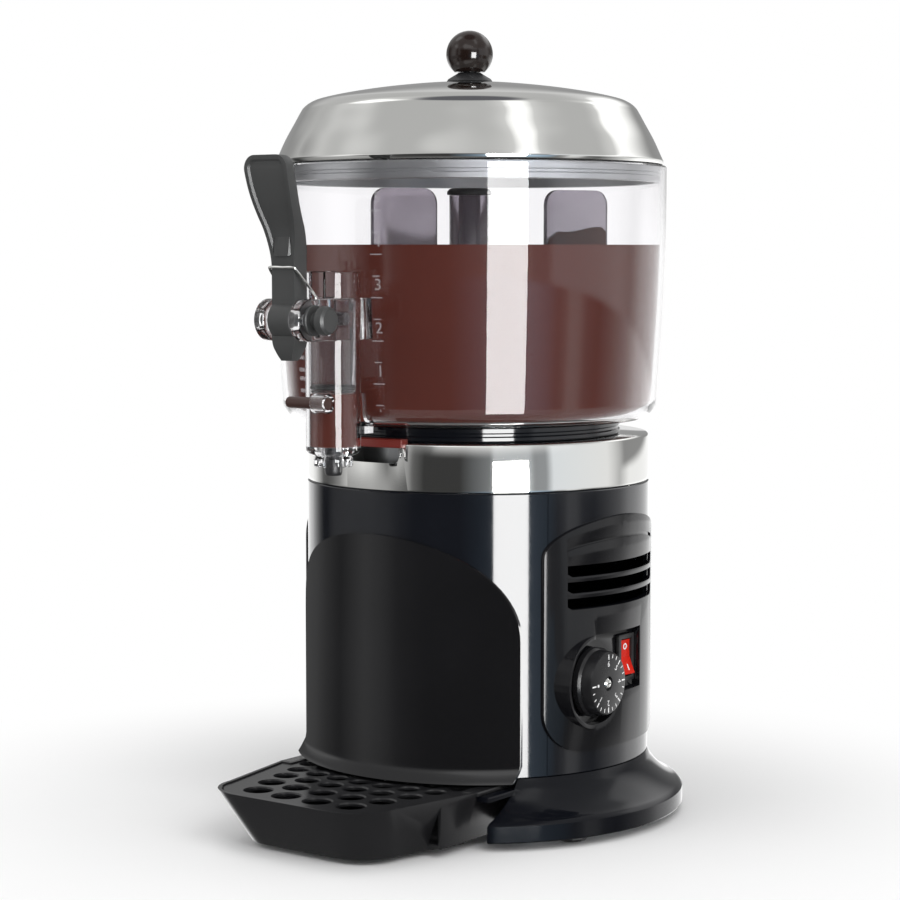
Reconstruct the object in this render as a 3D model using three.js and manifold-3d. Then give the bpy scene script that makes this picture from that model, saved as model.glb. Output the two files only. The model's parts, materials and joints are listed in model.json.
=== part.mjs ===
// Hot chocolate dispenser: a heated clear bowl with a stirrer and a piston tap on a round black base.
// Millimetres, +Z up. The front with the tap faces -Y and the controls are on the +X side.
// The group is centred over the box of the whole machine, and the rubber feet stand at zero height.
import * as THREE from "three";
import { mergeVertices } from "three/addons/utils/BufferGeometryUtils.js";
import Module from "manifold-3d";

const wasm = await Module();
wasm.setup();

// Clearances and finish of the curves
const gap = 0.3; // between pieces that touch
const overrun = 2; // by which a cut passes the face that it opens
const overlapJoin = 0.6; // by which two forms of one moulding run into each other
const bodySides = 40; // facets round the large turned pieces
const partSides = 16; // round the middling ones
const smallSides = 10; // round pins and buttons
const innerSides = 24; // round turned pieces that stay hidden
const arcSteps = 3; // in a rounded corner

// Rubber feet and base plate
const footHeight = 5;
const footRadius = 9;
const footNeckRadius = 4;
const frontFootX = 97;
const frontFootY = -42;
const rearFootX = 74;
const rearFootY = 74;
const plateThickness = 1.5;
const plateMargin = 4.5;

// Flared foot under the housing
const footLipRadius = 124;
const footLipHeight = 11;
const footWall = 3;
const footFlareShares = [[0, 0], [0.27, 0.12], [0.55, 0.34], [0.8, 0.67], [1, 1]];

// Housing: a thin round shell that carries the works
const housingRadius = 102.5;
const housingWall = 2.5;
const housingBottom = 37;
const housingTop = 199.5;
const housingLipWidth = 8;
const ledgeWidth = 6;
const ledgeThickness = 3.5;
const ledgeTop = 175.7;

// Polished steel ring on the housing, with its inner deck
const ringHeight = 28;
const ringWall = 1.2;
const ringInset = 0.2;
const ringNotchWidth = 46;
const ringNotchDepth = 12;

// Bowl
const bowlForward = 9; // its axis lies ahead of the housing's
const bowlBottom = 236.5;
const bowlTop = 385;
const bowlWall = 3;
const bowlTopRadius = 116.6;
const bowlFootRadius = 111.2;
const bowlCornerRadius = 10;
const bowlBellyHeight = 131; // above this height over its floor the wall is straight
const bowlHubRadius = 13;
const bowlHubHeight = 7;
const bowlSealRadius = 90;
const bowlSealWidth = 6;

// Water tank and its heating element
const tankRadius = 78.4;
const tankWall = 1.2;
const tankBottom = 190;
const tankFlangeWidth = 3.6;
const tankTubeRadius = 8;
const elementRadius = 3.5;
const elementLoopRadius = 48;
const elementLegGap = 30;
const elementRise = 9; // of its loop over the tank's floor
const elementLegDrop = 9;

// Drive
const shaftRadius = 4;
const shaftTop = 268;
const sealRadius = 9.4;
const sealFlange = 3.2;
const sealFlangeThickness = 2;
const bridgeThickness = 2;
const bridgeWidth = 74;
const gearboxWidth = 62;
const gearboxLength = 84;
const gearboxHeight = 26;
const gearboxCorner = 8;
const gearboxOffset = 14;
const motorRadius = 25;
const motorHeight = 62;
const motorRimHeight = 5;
const motorRimStep = 3;
const screwRadius = 2;
const screwHeadRadius = 4;
const screwHeadHeight = 2.4;
const screwLength = 10;

// Stirrer
const columnRadius = 12;
const columnTop = 368;
const shaftClearance = 0.3;
const bladeThickness = 4;
const bladeTop = 372;
const bladeFloorGap = 4;
const innerBladeStart = 23;
const innerBladeEnd = 65;
const outerBladeStart = 53;
const outerBladeEnd = 97;
const bladeShoulder = 12;
const armHeight = 13;
const upperArmHeight = 12;
const upperArmLevel = 318;
const stirrerTurn = 66; // degrees from +X at rest
const capRadius = 13.4;
const capHeight = 4;
const wiperThickness = 2.4;
const wiperOverlap = 6;
const wiperWidth = 9;

// Tap: an upright tube moulded on the bowl's front, with two cheeks for the lever
const tapForward = 137; // the tube's axis ahead of the housing's
const tubeRadius = 15.3;
const tubeWall = 2.3;
const tubeBottom = 224.6;
const tubeTop = 324;
const tubeFloor = 2.4;
const outletRadius = 7.6;
const coneHeight = 2.5;
const coneRadius = 11.5;
const webThickness = 12;
const webBottom = 233;
const passageWidth = 14;
const passageBottom = 240;
const passageHeight = 16;
const pivotReach = 37; // of the lever's pivot ahead of the tube's axis
const pivotForward = tapForward + pivotReach;
const pivotDrop = 26; // of the pivot below the tube's top
const pivotHeight = tubeTop - pivotDrop;
const pistonRelief = 7; // of the bore above the tube's top, where the lifted piston passes the bowl's wall
const earRadius = 11.5;
const earInner = 8.9;
const earOuter = 16;
const slotWidth = 10;
const slotDrop = 8; // of the slot's floor below the pivot
const slotBottom = pivotHeight - slotDrop;
const pegRise = 27.4; // of the peg over the tube's bottom
const pegHeight = tubeBottom + pegRise;
const pegRadius = 3.3;
const pegClearance = 0.4;
const pegForward = tapForward + tubeRadius + pegRadius + pegClearance;
const pegLeft = -17;
const pegRight = 12;
const lugWidth = 9;
const lugRadius = 5.4;

// Outlet crown and tip
const crownRadius = 10.9;
const crownHeight = 6;
const crownWall = 2.4;
const crownNotches = 8;
const crownNotchWidth = 3;
const crownNotchDepth = 3;
const tipRadius = 4.9;
const tipBore = 3;
const tipDrop = 5;

// Piston
const pistonClearance = 0.35;
const pistonSkirtBottom = 257;
const pistonTop = 308;
const stemRadius = 5;
const poppetRadius = 9.6;
const poppetHeight = 8;
const poppetCone = 4;
const ringGroove = 1.6;
const ringSection = 1.45;
const armSlotClearance = 0.9;

// Lever
const hubRadius = 10;
const hubHalf = 8;
const armNoseRadius = 3.5; // the nose that lifts the piston, on the tube's axis
const armNeckHalf = 2.2;
const leverArmWidth = 8;
const mouthFlare = 3.4; // by which the piston's mouth opens downwards at its front
const neckHalf = 8;
const paddleHalf = 15;
const neckRise = 31; // of the paddle's root over the pivot
const neckHeight = pivotHeight + neckRise;
const paddleLength = 57.5;
const paddleTop = neckHeight + paddleLength;
const leverTailDrop = 22; // of the tail's end below the pivot
const leverTailBottom = pivotHeight - leverTailDrop;
const leverTailHalf = 5;
const paddleRimWidth = 2.2;
const paddleRimDepth = 1.2;
const leverTopLean = 15;
const leverThickness = 10.5;
const paddleThickness = 6.6;
const pinRadius = 3.4;
const pinHeadRadius = 8;
const pinHeadThickness = 6.5;
const pinNeckRadius = 4.6;
const pinWasherRadius = 8.4;
const pinWasherThickness = 2.2;
const pinHeadOffset = 22.5;
const wireRadius = 0.8;
const wireHalf = 9.3;
const wireBarDrop = 2.4; // of its bar below the paddle's root
const wireBarHeight = neckHeight - wireBarDrop;
const wireFootBack = 9.5; // of its feet behind the pivot
const wireFootForward = pivotForward - wireFootBack;
const wireFootDepth = 3.5; // of its feet in the cheeks
const wireFootHeight = pivotHeight + earRadius - wireFootDepth;
const wireFootInset = 1.6; // of its feet into the cheeks, from their inner faces
const wireShoulderGap = 1.9; // of its shoulders over the cheeks
const wireShoulderHeight = pivotHeight + earRadius + wireShoulderGap;

// Lid
const lidRimRadius = 114.6;
const lidRimHeight = 3.6;
const lidShoulderRadius = 99;
const lidShoulderHeight = 33;
const lidCrownRadius = 90;
const lidCrownHeight = 39;
const lidHeight = 49.5;
const lidWall = 1.2;
const lidSkirtDepth = 10;
const lidSkirtWidth = 3.2;
const lidFlareShares = [[0, 0], [0.35, 0.42], [0.7, 0.74], [1, 1]];
const knobBallRadius = 13.8;
const washerTopRadius = 6.6;
const knobHeight = 80; // from the bowl's rim to the ball's top
const washerRadius = 13.5;
const washerHeight = 5.5;
const studRadius = 3;
const studHeadRadius = 6.5;
const studHeadHeight = 3;

// Front panel
const panelThickness = 1.4;
const frontPanelAngle = 49.3;
const frontArchSpring = 115;
const frontArchTop = 174.7;
const apronTop = 44;
const apronBottom = 35.2;
const apronRadius = 109.2;

// Side panels
const sidePanelThickness = 1.8;
const sidePanelAngle = 33;
const sidePanelBottom = 50;
const sidePanelCorner = 23;
const sideArchSpring = 162;
const sideArchTop = 183.6;
const ventCount = 3;
const ventPitch = 9.4;
const ventHeight = 6.6;
const ventDrop = 8; // of the top vent below the arch's spring
const ventTopHeight = sideArchSpring - ventDrop;
const ventHalf = 44;
const ventSlant = 3;
const grooveWidth = 2.4;
const grooveDepth = 0.9;
const grooveRise = 5;
const grooveGap = 8.2; // between the top vent and the groove's ends
const grooveHeight = ventTopHeight + ventHeight / 2 + grooveGap + grooveRise;

// Controls on the right
const dialY = -25;
const dialZ = 89;
const bezelRadius = 26.8;
const bezelWall = 2.2;
const bezelFace = 101.6;
const controlFloor = 97;
const controlFloorThickness = 2.4;
const controlBack = 78;
const recessRight = 23;
const recessTop = 118.5;
const recessBottom = 78.5;
const knobBaseRadius = 20;
const knobFaceRadius = 18.3;
const knobFace = 110.5;
const knobSkirt = 4;
const knobShaftRadius = 3;
const knobShaftBack = 80;
const knobScrewHeadRadius = 3.2;
const knobScrewHeadHeight = 1.4;
const knobScrewRadius = 1.3;
const knobScrewLength = 7;
const thermostatRadius = 16;
const thermostatLength = 26;
const thermostatNeck = 5.5;
const thermostatNeckLength = 4;
const switchY = 11.8;
const switchZ = 98;
const switchBodyHalfY = 6.6;
const switchBodyHalfZ = 12;
const switchFrameMargin = 1.9;
const switchFrameThickness = 1.8;
const switchDepth = 24;
const rockerHalfY = 5.2;
const rockerHalfZ = 10.2;
const rockerRise = 3.6;
const rockerTilt = 11; // degrees
const rockerDepth = 5;

// Wiring pieces inside and the cord gland at the back
const terminalWidth = 40;
const terminalDepth = 16;
const terminalHeight = 14;
const terminalY = 62;
const terminalSlots = 4;
const terminalSlotWidth = 6;
const terminalSlotDepth = 5;
const glandHeight = 56;
const glandRadius = 9;
const glandBore = 3.6;
const glandFlange = 12;
const glandOut = 12;
const glandIn = 9;

// Drip tray and grid
const trayRim = 34;
const trayBottom = 3.5;
const trayFront = 184;
const trayBottomFront = 167;
const trayFrontHalf = 60;
const trayRearHalf = 72;
const trayShoulderY = -99;
const trayRearY = -58;
const trayCorner = 25;
const trayDraft = 10;
const trayWall = 2.2;
const trayNeckHalf = 65;
const trayFlange = 2.4;
const gridThickness = 2;
const gridDrop = 0.8; // below the tray's rim
const gridLedge = 2;
const gridFirstRow = 166; // ahead of the housing's axis
const gridHoleRadius = 8.1;
const gridHolePitch = 22.2;
const gridRowShares = [
  { forward: 1, radius: 1, pitch: 1, count: 4 },
  { forward: 0.889, radius: 0.926, pitch: 0.901, count: 5 },
  { forward: 0.783, radius: 0.852, pitch: 0.811, count: 6 },
  { forward: 0.687, radius: 0.765, pitch: 0.748, count: 7 },
  { forward: 0.599, radius: 0.679, pitch: 0.703, count: 8 },
  { forward: 0.521, radius: 0.593, pitch: 0.667, count: 8 },
  { forward: 0.449, radius: 0.519, pitch: 0.64, count: 8 },
];
const gridBowRadius = 270; // of the curve that each row follows
const gridHoleSides = 8;
const bayHalf = 77;
const bayWall = 2.4;
const bayRearY = -55;
const railWidth = 7.5;
const railThickness = 3;

// Materials
const blackGloss = { color: 0x121316, roughness: 0.12, metalness: 0 };
const blackMatt = { color: 0x2b2c2d, roughness: 0.55, metalness: 0 };
const charcoal = { color: 0x39393a, roughness: 0.5, metalness: 0 };
const steel = { color: 0xd2d2cf, roughness: 0.08, metalness: 1 };
const dullSteel = { color: 0xa9abad, roughness: 0.35, metalness: 1 };
const clearPlastic = { color: 0xeeeef2, roughness: 0.04, metalness: 0, transparent: true, opacity: 0.35 };
const smokedPlastic = { color: 0x77747b, roughness: 0.2, metalness: 0 };
const redRubber = { color: 0xb5301c, roughness: 0.5, metalness: 0 };
const blackRubber = { color: 0x161616, roughness: 0.8, metalness: 0 };
const redPlastic = { color: 0xc81e0a, roughness: 0.25, metalness: 0 };
const brownPlastic = { color: 0x3a1f18, roughness: 0.4, metalness: 0 };
const castMetal = { color: 0x8f9294, roughness: 0.5, metalness: 0.9 };
const ivoryPlastic = { color: 0xd8d2c0, roughness: 0.5, metalness: 0 };

// Directions of an extrusion: the outline's axes and the way that it is pushed
const acrossX = new THREE.Matrix4().makeBasis(
  new THREE.Vector3(0, 1, 0),
  new THREE.Vector3(0, 0, 1),
  new THREE.Vector3(1, 0, 0),
);
const towardsFront = new THREE.Matrix4().makeBasis(
  new THREE.Vector3(1, 0, 0),
  new THREE.Vector3(0, 0, 1),
  new THREE.Vector3(0, -1, 0),
);

// Solids

function solidOf(geometry) {
  const bare = geometry.index ? geometry.toNonIndexed() : geometry.clone();
  bare.deleteAttribute("normal");
  bare.deleteAttribute("uv");
  const merged = mergeVertices(bare, gap / 1000);
  return new wasm.Manifold(
    new wasm.Mesh({
      numProp: 3,
      vertProperties: merged.attributes.position.array,
      triVerts: new Uint32Array(merged.index.array),
    }),
  );
}

function geometryOf(solid) {
  const mesh = solid.getMesh();
  const geometry = new THREE.BufferGeometry();
  geometry.setAttribute("position", new THREE.BufferAttribute(mesh.vertProperties, 3));
  geometry.setIndex(new THREE.BufferAttribute(mesh.triVerts, 1));
  const flat = geometry.toNonIndexed();
  flat.computeVertexNormals();
  return flat;
}

// A ring or disc turned about +Z from [radius, height] points, counter-clockwise with the axis on the left
function turned(points, sides = bodySides) {
  const profile = points.map(([radius, height]) => new THREE.Vector2(radius, height));
  const onAxis = points[0][0] === 0 && points[points.length - 1][0] === 0;
  if (!onAxis) profile.push(profile[0].clone());
  const geometry = new THREE.LatheGeometry(profile, sides);
  geometry.rotateX(Math.PI / 2);
  return solidOf(geometry);
}

function outline(points) {
  return new THREE.Shape(points.map(([u, v]) => new THREE.Vector2(u, v)));
}

// An outline pushed from low to high along +Z, or along the third axis of a basis
function pushed(shape, low, high, basis, curveSegments = arcSteps) {
  const settings = { depth: high - low, bevelEnabled: false, curveSegments };
  const geometry = new THREE.ExtrudeGeometry(shape, settings);
  geometry.translate(0, 0, low);
  if (basis) geometry.applyMatrix4(basis);
  return solidOf(geometry);
}

function block(low, high) {
  const size = high.map((value, axis) => value - low[axis]);
  const geometry = new THREE.BoxGeometry(...size);
  geometry.translate(...high.map((value, axis) => (value + low[axis]) / 2));
  return solidOf(geometry);
}

function rod(radius, low, high, sides = smallSides) {
  return turned([[0, low], [radius, low], [radius, high], [0, high]], sides);
}

// A turned piece laid along +X through a point
function alongX(solid, y, z) {
  return solid.rotate([0, 90, 0]).translate([0, y, z]);
}

function arcPoints(centreU, centreV, radius, fromDegrees, toDegrees, steps = arcSteps) {
  const points = [];
  for (let step = 0; step <= steps; step += 1) {
    const angle = THREE.MathUtils.degToRad(fromDegrees + ((toDegrees - fromDegrees) * step) / steps);
    points.push([centreU + radius * Math.cos(angle), centreV + radius * Math.sin(angle)]);
  }
  return points;
}

function roundedBox(halfU, halfV, radius, centreU = 0, centreV = 0) {
  return [
    ...arcPoints(centreU + halfU - radius, centreV - halfV + radius, radius, -90, 0),
    ...arcPoints(centreU + halfU - radius, centreV + halfV - radius, radius, 0, 90),
    ...arcPoints(centreU - halfU + radius, centreV + halfV - radius, radius, 90, 180),
    ...arcPoints(centreU - halfU + radius, centreV - halfV + radius, radius, 180, 270),
  ];
}

function circle(radius, centreU = 0, centreV = 0, steps = smallSides) {
  return arcPoints(centreU, centreV, radius, 0, 360, steps).slice(0, -1);
}

function wire(points, radius, sides, steps) {
  const path = new THREE.CatmullRomCurve3(points, false, "centripetal");
  const section = outline(circle(radius, 0, 0, sides));
  return solidOf(new THREE.ExtrudeGeometry(section, { steps, extrudePath: path, bevelEnabled: false }));
}

function piece(name, solid, look) {
  const mesh = new THREE.Mesh(geometryOf(solid), new THREE.MeshStandardMaterial(look));
  mesh.name = name;
  return mesh;
}

function holderAt(x, y, z) {
  const group = new THREE.Group();
  group.position.set(x, y, z);
  return group;
}

// Base: foot, plate and rubber feet

const bayOpening = block(
  [-bayHalf, -footLipRadius - overrun, -overrun],
  [bayHalf, bayRearY, housingBottom + overrun],
);

function footProfile(inset) {
  const lipTop = footHeight + footLipHeight - inset;
  const rise = housingBottom - gap - inset - lipTop;
  const run = footLipRadius - housingRadius;
  const flare = footFlareShares.map(([inShare, upShare]) => [
    footLipRadius - inset - run * inShare,
    lipTop + rise * upShare,
  ]);
  return [[0, footHeight - inset], [footLipRadius - inset, footHeight - inset], ...flare, [0, lipTop + rise]];
}

function footSkirt() {
  const outer = turned(footProfile(0));
  const inner = turned(footProfile(footWall));
  const core = rod(housingRadius - housingLipWidth, footHeight, housingBottom + overrun, bodySides);
  const bay = block(
    [-bayHalf - bayWall, -footLipRadius, footHeight],
    [bayHalf + bayWall, bayRearY + bayWall, housingBottom - gap],
  );
  const railTop = trayRim - trayFlange - gap;
  let rails = null;
  for (const side of [-1, 1]) {
    const near = side * (bayHalf + overlapJoin);
    const far = side * (bayHalf - railWidth);
    const rail = block(
      [Math.min(near, far), trayShoulderY + trayWall, railTop - railThickness],
      [Math.max(near, far), bayRearY + overlapJoin, railTop],
    );
    rails = rails ? rails.add(rail) : rail;
  }
  const shell = outer.subtract(inner).subtract(core).add(bay.intersect(outer));
  return shell.subtract(bayOpening).add(rails.intersect(outer));
}

const footPlaces = [
  [-frontFootX, frontFootY],
  [frontFootX, frontFootY],
  [-rearFootX, rearFootY],
  [rearFootX, rearFootY],
];

function basePlate() {
  const radius = footLipRadius - footWall - plateMargin;
  const low = footHeight + gap;
  const plate = rod(radius, low, low + plateThickness, innerSides);
  const wide = bayWall + gap;
  const clear = block(
    [-bayHalf - wide, -footLipRadius, 0],
    [bayHalf + wide, bayRearY + wide, housingBottom],
  );
  let drilled = plate.subtract(clear);
  for (const [x, y] of footPlaces) {
    drilled = drilled.subtract(rod(footNeckRadius + gap, 0, housingBottom, smallSides).translate([x, y, 0]));
  }
  return drilled;
}

function rubberFoot() {
  const step = footHeight + gap + plateThickness + gap;
  return turned([
    [0, 0],
    [footRadius * 0.85, 0],
    [footRadius, footHeight * 0.3],
    [footRadius, footHeight],
    [0, footHeight],
  ], smallSides).add(rod(footNeckRadius, footHeight - overlapJoin, step));
}

// Housing with its windows behind the side panels

function controlOutline(margin) {
  const round = outline(circle(bezelRadius + margin, dialY, dialZ, partSides));
  const box = outline([
    [dialY, recessBottom - margin],
    [recessRight + margin, recessBottom - margin],
    [recessRight + margin, recessTop + margin],
    [dialY, recessTop + margin],
  ]);
  return [round, box];
}

function controlForm(margin, low, high) {
  const [round, box] = controlOutline(margin);
  return pushed(round, low, high, acrossX).add(pushed(box, low, high, acrossX));
}

const ventMiddle = ventTopHeight - (ventPitch * (ventCount - 1)) / 2;
const ventSpan = ventPitch * (ventCount - 1) + ventHeight;

function housingShell() {
  const inner = housingRadius - housingWall;
  const shell = turned([
    [inner, housingBottom],
    [housingRadius, housingBottom],
    [housingRadius, housingTop],
    [housingRadius - housingLipWidth, housingTop],
    [housingRadius - housingLipWidth, housingTop - housingWall],
    [inner, housingTop - housingWall],
    [inner, ledgeTop],
    [inner - ledgeWidth, ledgeTop],
    [inner - ledgeWidth, ledgeTop - ledgeThickness],
    [inner, ledgeTop - ledgeThickness - ledgeWidth],
  ]);
  const ventWindow = block(
    [-housingRadius - overrun, -ventHalf, ventMiddle - ventSpan / 2],
    [housingRadius + overrun, ventHalf, ventMiddle + ventSpan / 2],
  );
  const controls = controlForm(gap, 0, housingRadius + overrun);
  const gland = rod(glandRadius + gap, 0, housingRadius + overrun, partSides)
    .rotate([-90, 0, 0])
    .translate([0, 0, glandHeight]);
  return shell.subtract(ventWindow).subtract(controls).subtract(gland);
}

// Panels: bands of the housing's round, cut to an arched outline

function archOutline(radius, angle, bottom, spring, top, corner) {
  const steps = arcSteps * 4;
  const half = THREE.MathUtils.degToRad(angle);
  const points = [];
  for (let step = 0; step <= steps; step += 1) {
    const turn = (Math.PI * step) / steps;
    points.push([radius * Math.sin(half * Math.cos(turn)), spring + (top - spring) * Math.sin(turn)]);
  }
  const edge = radius * Math.sin(half);
  if (corner === 0) return outline([[-edge, bottom], [edge, bottom], ...points]);
  return outline([
    ...arcPoints(-edge + corner, bottom + corner, corner, 180, 270),
    ...arcPoints(edge - corner, bottom + corner, corner, 270, 360),
    ...points,
  ]);
}

function frontPanel() {
  const inner = housingRadius + gap;
  const outer = inner + panelThickness;
  const flare = apronRadius - outer;
  const band = turned([
    [inner + flare, apronBottom],
    [apronRadius, apronBottom],
    [outer + flare * 0.35, apronBottom + (apronTop - apronBottom) * 0.5],
    [outer, apronTop],
    [outer, frontArchTop + overrun],
    [inner, frontArchTop + overrun],
    [inner, apronTop - gap],
    [inner + flare * 0.35, apronBottom + (apronTop - apronBottom) * 0.5],
  ]);
  const arch = archOutline(outer, frontPanelAngle, apronBottom - overrun, frontArchSpring, frontArchTop, 0);
  return band.intersect(pushed(arch, 0, apronRadius + overrun, towardsFront));
}

function ventSlot(level) {
  const half = ventHeight / 2;
  return outline([
    [-ventHalf + ventSlant, level - half],
    [ventHalf - ventSlant, level - half],
    [ventHalf, level + half],
    [-ventHalf, level + half],
  ]);
}

function sidePanel() {
  const inner = housingRadius + gap;
  const outer = inner + sidePanelThickness;
  const band = turned([
    [inner, sidePanelBottom - overrun],
    [outer, sidePanelBottom - overrun],
    [outer, sideArchTop + overrun],
    [inner, sideArchTop + overrun],
  ]);
  const arch = archOutline(
    outer,
    sidePanelAngle,
    sidePanelBottom,
    sideArchSpring,
    sideArchTop,
    sidePanelCorner,
  );
  let panel = band.intersect(pushed(arch, 0, outer + overrun, acrossX));
  for (let row = 0; row < ventCount; row += 1) {
    panel = panel.subtract(pushed(ventSlot(ventTopHeight - row * ventPitch), 0, outer + overrun, acrossX));
  }
  const groove = outline([
    [-ventHalf, grooveHeight - grooveRise],
    [0, grooveHeight],
    [ventHalf, grooveHeight - grooveRise],
    [ventHalf, grooveHeight - grooveRise + grooveWidth],
    [0, grooveHeight + grooveWidth],
    [-ventHalf, grooveHeight - grooveRise + grooveWidth],
  ]);
  const shallow = pushed(groove, 0, outer + overrun, acrossX)
    .subtract(rod(outer - grooveDepth, 0, sideArchTop, bodySides));
  return panel.subtract(shallow);
}

function rightPanel() {
  const outer = housingRadius + gap + sidePanelThickness;
  const clip = rod(outer - gap, sidePanelBottom, sideArchTop, bodySides);
  const [round, box] = controlOutline(0);
  const bezel = pushed(round, controlBack, bezelFace, acrossX);
  const boss = pushed(box, controlBack, outer + overrun, acrossX).intersect(clip);
  const recess = controlForm(-bezelWall, controlFloor, outer + overrun);
  const behind = controlForm(-bezelWall, 0, controlFloor - controlFloorThickness);
  const shaftHole = alongX(rod(thermostatNeck + gap, 0, outer, partSides), dialY, dialZ);
  const switchHole = block(
    [0, switchY - switchBodyHalfY - gap, switchZ - switchBodyHalfZ - gap],
    [outer, switchY + switchBodyHalfY + gap, switchZ + switchBodyHalfZ + gap],
  );
  return sidePanel()
    .add(bezel)
    .add(boss)
    .subtract(recess)
    .subtract(behind)
    .subtract(shaftHole)
    .subtract(switchHole);
}

function leftPanel() {
  return sidePanel().rotate([0, 0, 180]);
}

// Steel ring with its deck, and the water tank that hangs in it

const ringBottom = housingTop + gap;
const ringTop = housingTop + ringHeight;

function steelRing() {
  const outer = housingRadius - ringInset;
  const ring = turned([
    [outer - ringWall, ringBottom],
    [outer, ringBottom],
    [outer, ringTop - ringWall],
    [outer - ringWall, ringTop],
    [tankRadius / 2, ringTop],
    [tankRadius / 2, ringTop - ringWall],
    [outer - ringWall, ringTop - ringWall],
  ]);
  const tankHole = rod(tankRadius + gap * 2, 0, ringTop + overrun, innerSides)
    .translate([0, -bowlForward, 0]);
  const notch = outline([
    [-ringNotchWidth / 2, ringTop + overrun],
    [-ringNotchWidth / 2 + ringNotchDepth / 2, ringTop - ringNotchDepth],
    [ringNotchWidth / 2 - ringNotchDepth / 2, ringTop - ringNotchDepth],
    [ringNotchWidth / 2, ringTop + overrun],
  ]);
  const notchBack = bowlForward + bowlSealRadius + gap;
  const front = pushed(notch, notchBack, housingRadius + overrun, towardsFront);
  return ring.subtract(tankHole).subtract(front);
}

const elementHeight = tankBottom + tankWall + elementRise;
const elementLegY = Math.sqrt(elementLoopRadius ** 2 - (elementLegGap / 2) ** 2);

function waterTank() {
  const inner = tankRadius - tankWall;
  const flangeLow = ringTop + gap;
  const flangeHigh = flangeLow + tankWall;
  const pan = turned([
    [tankTubeRadius, tankBottom],
    [tankRadius, tankBottom],
    [tankRadius, flangeLow],
    [tankRadius + tankFlangeWidth, flangeLow],
    [tankRadius + tankFlangeWidth, flangeHigh],
    [inner, flangeHigh],
    [inner, tankBottom + tankWall],
    [tankTubeRadius + tankWall, tankBottom + tankWall],
    [tankTubeRadius + tankWall, flangeHigh],
    [tankTubeRadius, flangeHigh],
  ], innerSides);
  let holes = pan;
  for (const side of [-1, 1]) {
    const hole = rod(elementRadius + gap * 2, 0, elementHeight, smallSides);
    holes = holes.subtract(hole.translate([(side * elementLegGap) / 2, elementLegY, 0]));
  }
  return holes;
}

function heatingElement() {
  const opening = Math.asin(elementLegGap / 2 / elementLoopRadius);
  const turns = 26;
  const half = elementLegGap / 2;
  const bendLow = tankBottom + tankWall + gap;
  const loop = [];
  for (let step = 1; step < turns; step += 1) {
    const angle = Math.PI / 2 - opening - ((Math.PI - opening) * 2 * step) / turns;
    loop.push(new THREE.Vector3(
      elementLoopRadius * Math.cos(angle),
      elementLoopRadius * Math.sin(angle),
      elementHeight,
    ));
  }
  return wire([
    new THREE.Vector3(half, elementLegY, tankBottom - elementLegDrop),
    new THREE.Vector3(half, elementLegY, tankBottom),
    new THREE.Vector3(half, elementLegY, bendLow + elementRadius / 2),
    ...loop,
    new THREE.Vector3(-half, elementLegY, bendLow + elementRadius / 2),
    new THREE.Vector3(-half, elementLegY, tankBottom),
    new THREE.Vector3(-half, elementLegY, tankBottom - elementLegDrop),
  ], elementRadius, 5, 32);
}

// Seals under the bowl

function bowlSeal() {
  const low = ringTop + gap;
  const high = bowlBottom - gap;
  return turned([
    [bowlSealRadius - bowlSealWidth, low],
    [bowlSealRadius, low],
    [bowlSealRadius, high],
    [bowlSealRadius - bowlSealWidth, high],
  ], innerSides);
}

function shaftSeal() {
  const low = bowlBottom - gap - sealFlangeThickness;
  const high = bowlBottom + bowlHubHeight;
  const bore = shaftRadius + shaftClearance;
  return turned([
    [bore, low],
    [sealRadius + sealFlange, low],
    [sealRadius + sealFlange, low + sealFlangeThickness],
    [sealRadius, low + sealFlangeThickness],
    [sealRadius, high],
    [bore, high],
  ], partSides);
}

// Gear motor on a bridge that lies on the housing's ledge

const bridgeLow = ledgeTop + gap;
const gearboxTop = bridgeLow - gap;
const gearboxLow = gearboxTop - gearboxHeight;

function motorBridge() {
  const reach = housingRadius - housingWall - gap;
  const disc = rod(reach, bridgeLow, bridgeLow + bridgeThickness, bodySides);
  const strip = block(
    [-reach, -bridgeWidth / 2, bridgeLow],
    [reach, bridgeWidth / 2, bridgeLow + bridgeThickness],
  );
  const shaftHole = rod(tankTubeRadius, 0, housingTop, partSides);
  let bridge = disc.intersect(strip).subtract(shaftHole.translate([0, -bowlForward, 0]));
  for (const side of [-1, 1]) {
    const hole = rod(screwRadius + gap, 0, housingTop, smallSides);
    const holeX = side * (gearboxWidth / 2 - gearboxCorner);
    bridge = bridge.subtract(hole.translate([holeX, -bowlForward, 0]));
  }
  return bridge;
}

function gearbox() {
  const body = pushed(
    outline(roundedBox(gearboxWidth / 2, gearboxLength / 2, gearboxCorner, 0, gearboxOffset)),
    gearboxLow,
    gearboxTop,
  );
  const shaftSeat = gearboxLow + gearboxHeight / 3;
  let box = body.subtract(rod(shaftRadius + shaftClearance, shaftSeat, gearboxTop + overrun, smallSides));
  for (const side of [-1, 1]) {
    const hole = rod(screwRadius + gap, gearboxTop - screwLength, gearboxTop + overrun, smallSides);
    box = box.subtract(hole.translate([(side * gearboxWidth) / 2 - side * gearboxCorner, 0, 0]));
  }
  return box;
}

function gearMotor() {
  const high = gearboxLow - gap;
  const low = high - motorHeight;
  const inner = motorRadius - motorRimStep;
  return turned([
    [0, low],
    [inner, low],
    [inner, low + motorRimHeight],
    [motorRadius, low + motorRimHeight],
    [motorRadius, high - motorRimHeight],
    [inner, high - motorRimHeight],
    [inner, high],
    [0, high],
  ], partSides);
}

function bridgeScrew() {
  const low = bridgeLow + bridgeThickness + gap;
  return rod(screwHeadRadius, low, low + screwHeadHeight, smallSides)
    .add(rod(screwRadius, low - screwLength, low + overlapJoin, smallSides));
}

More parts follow.
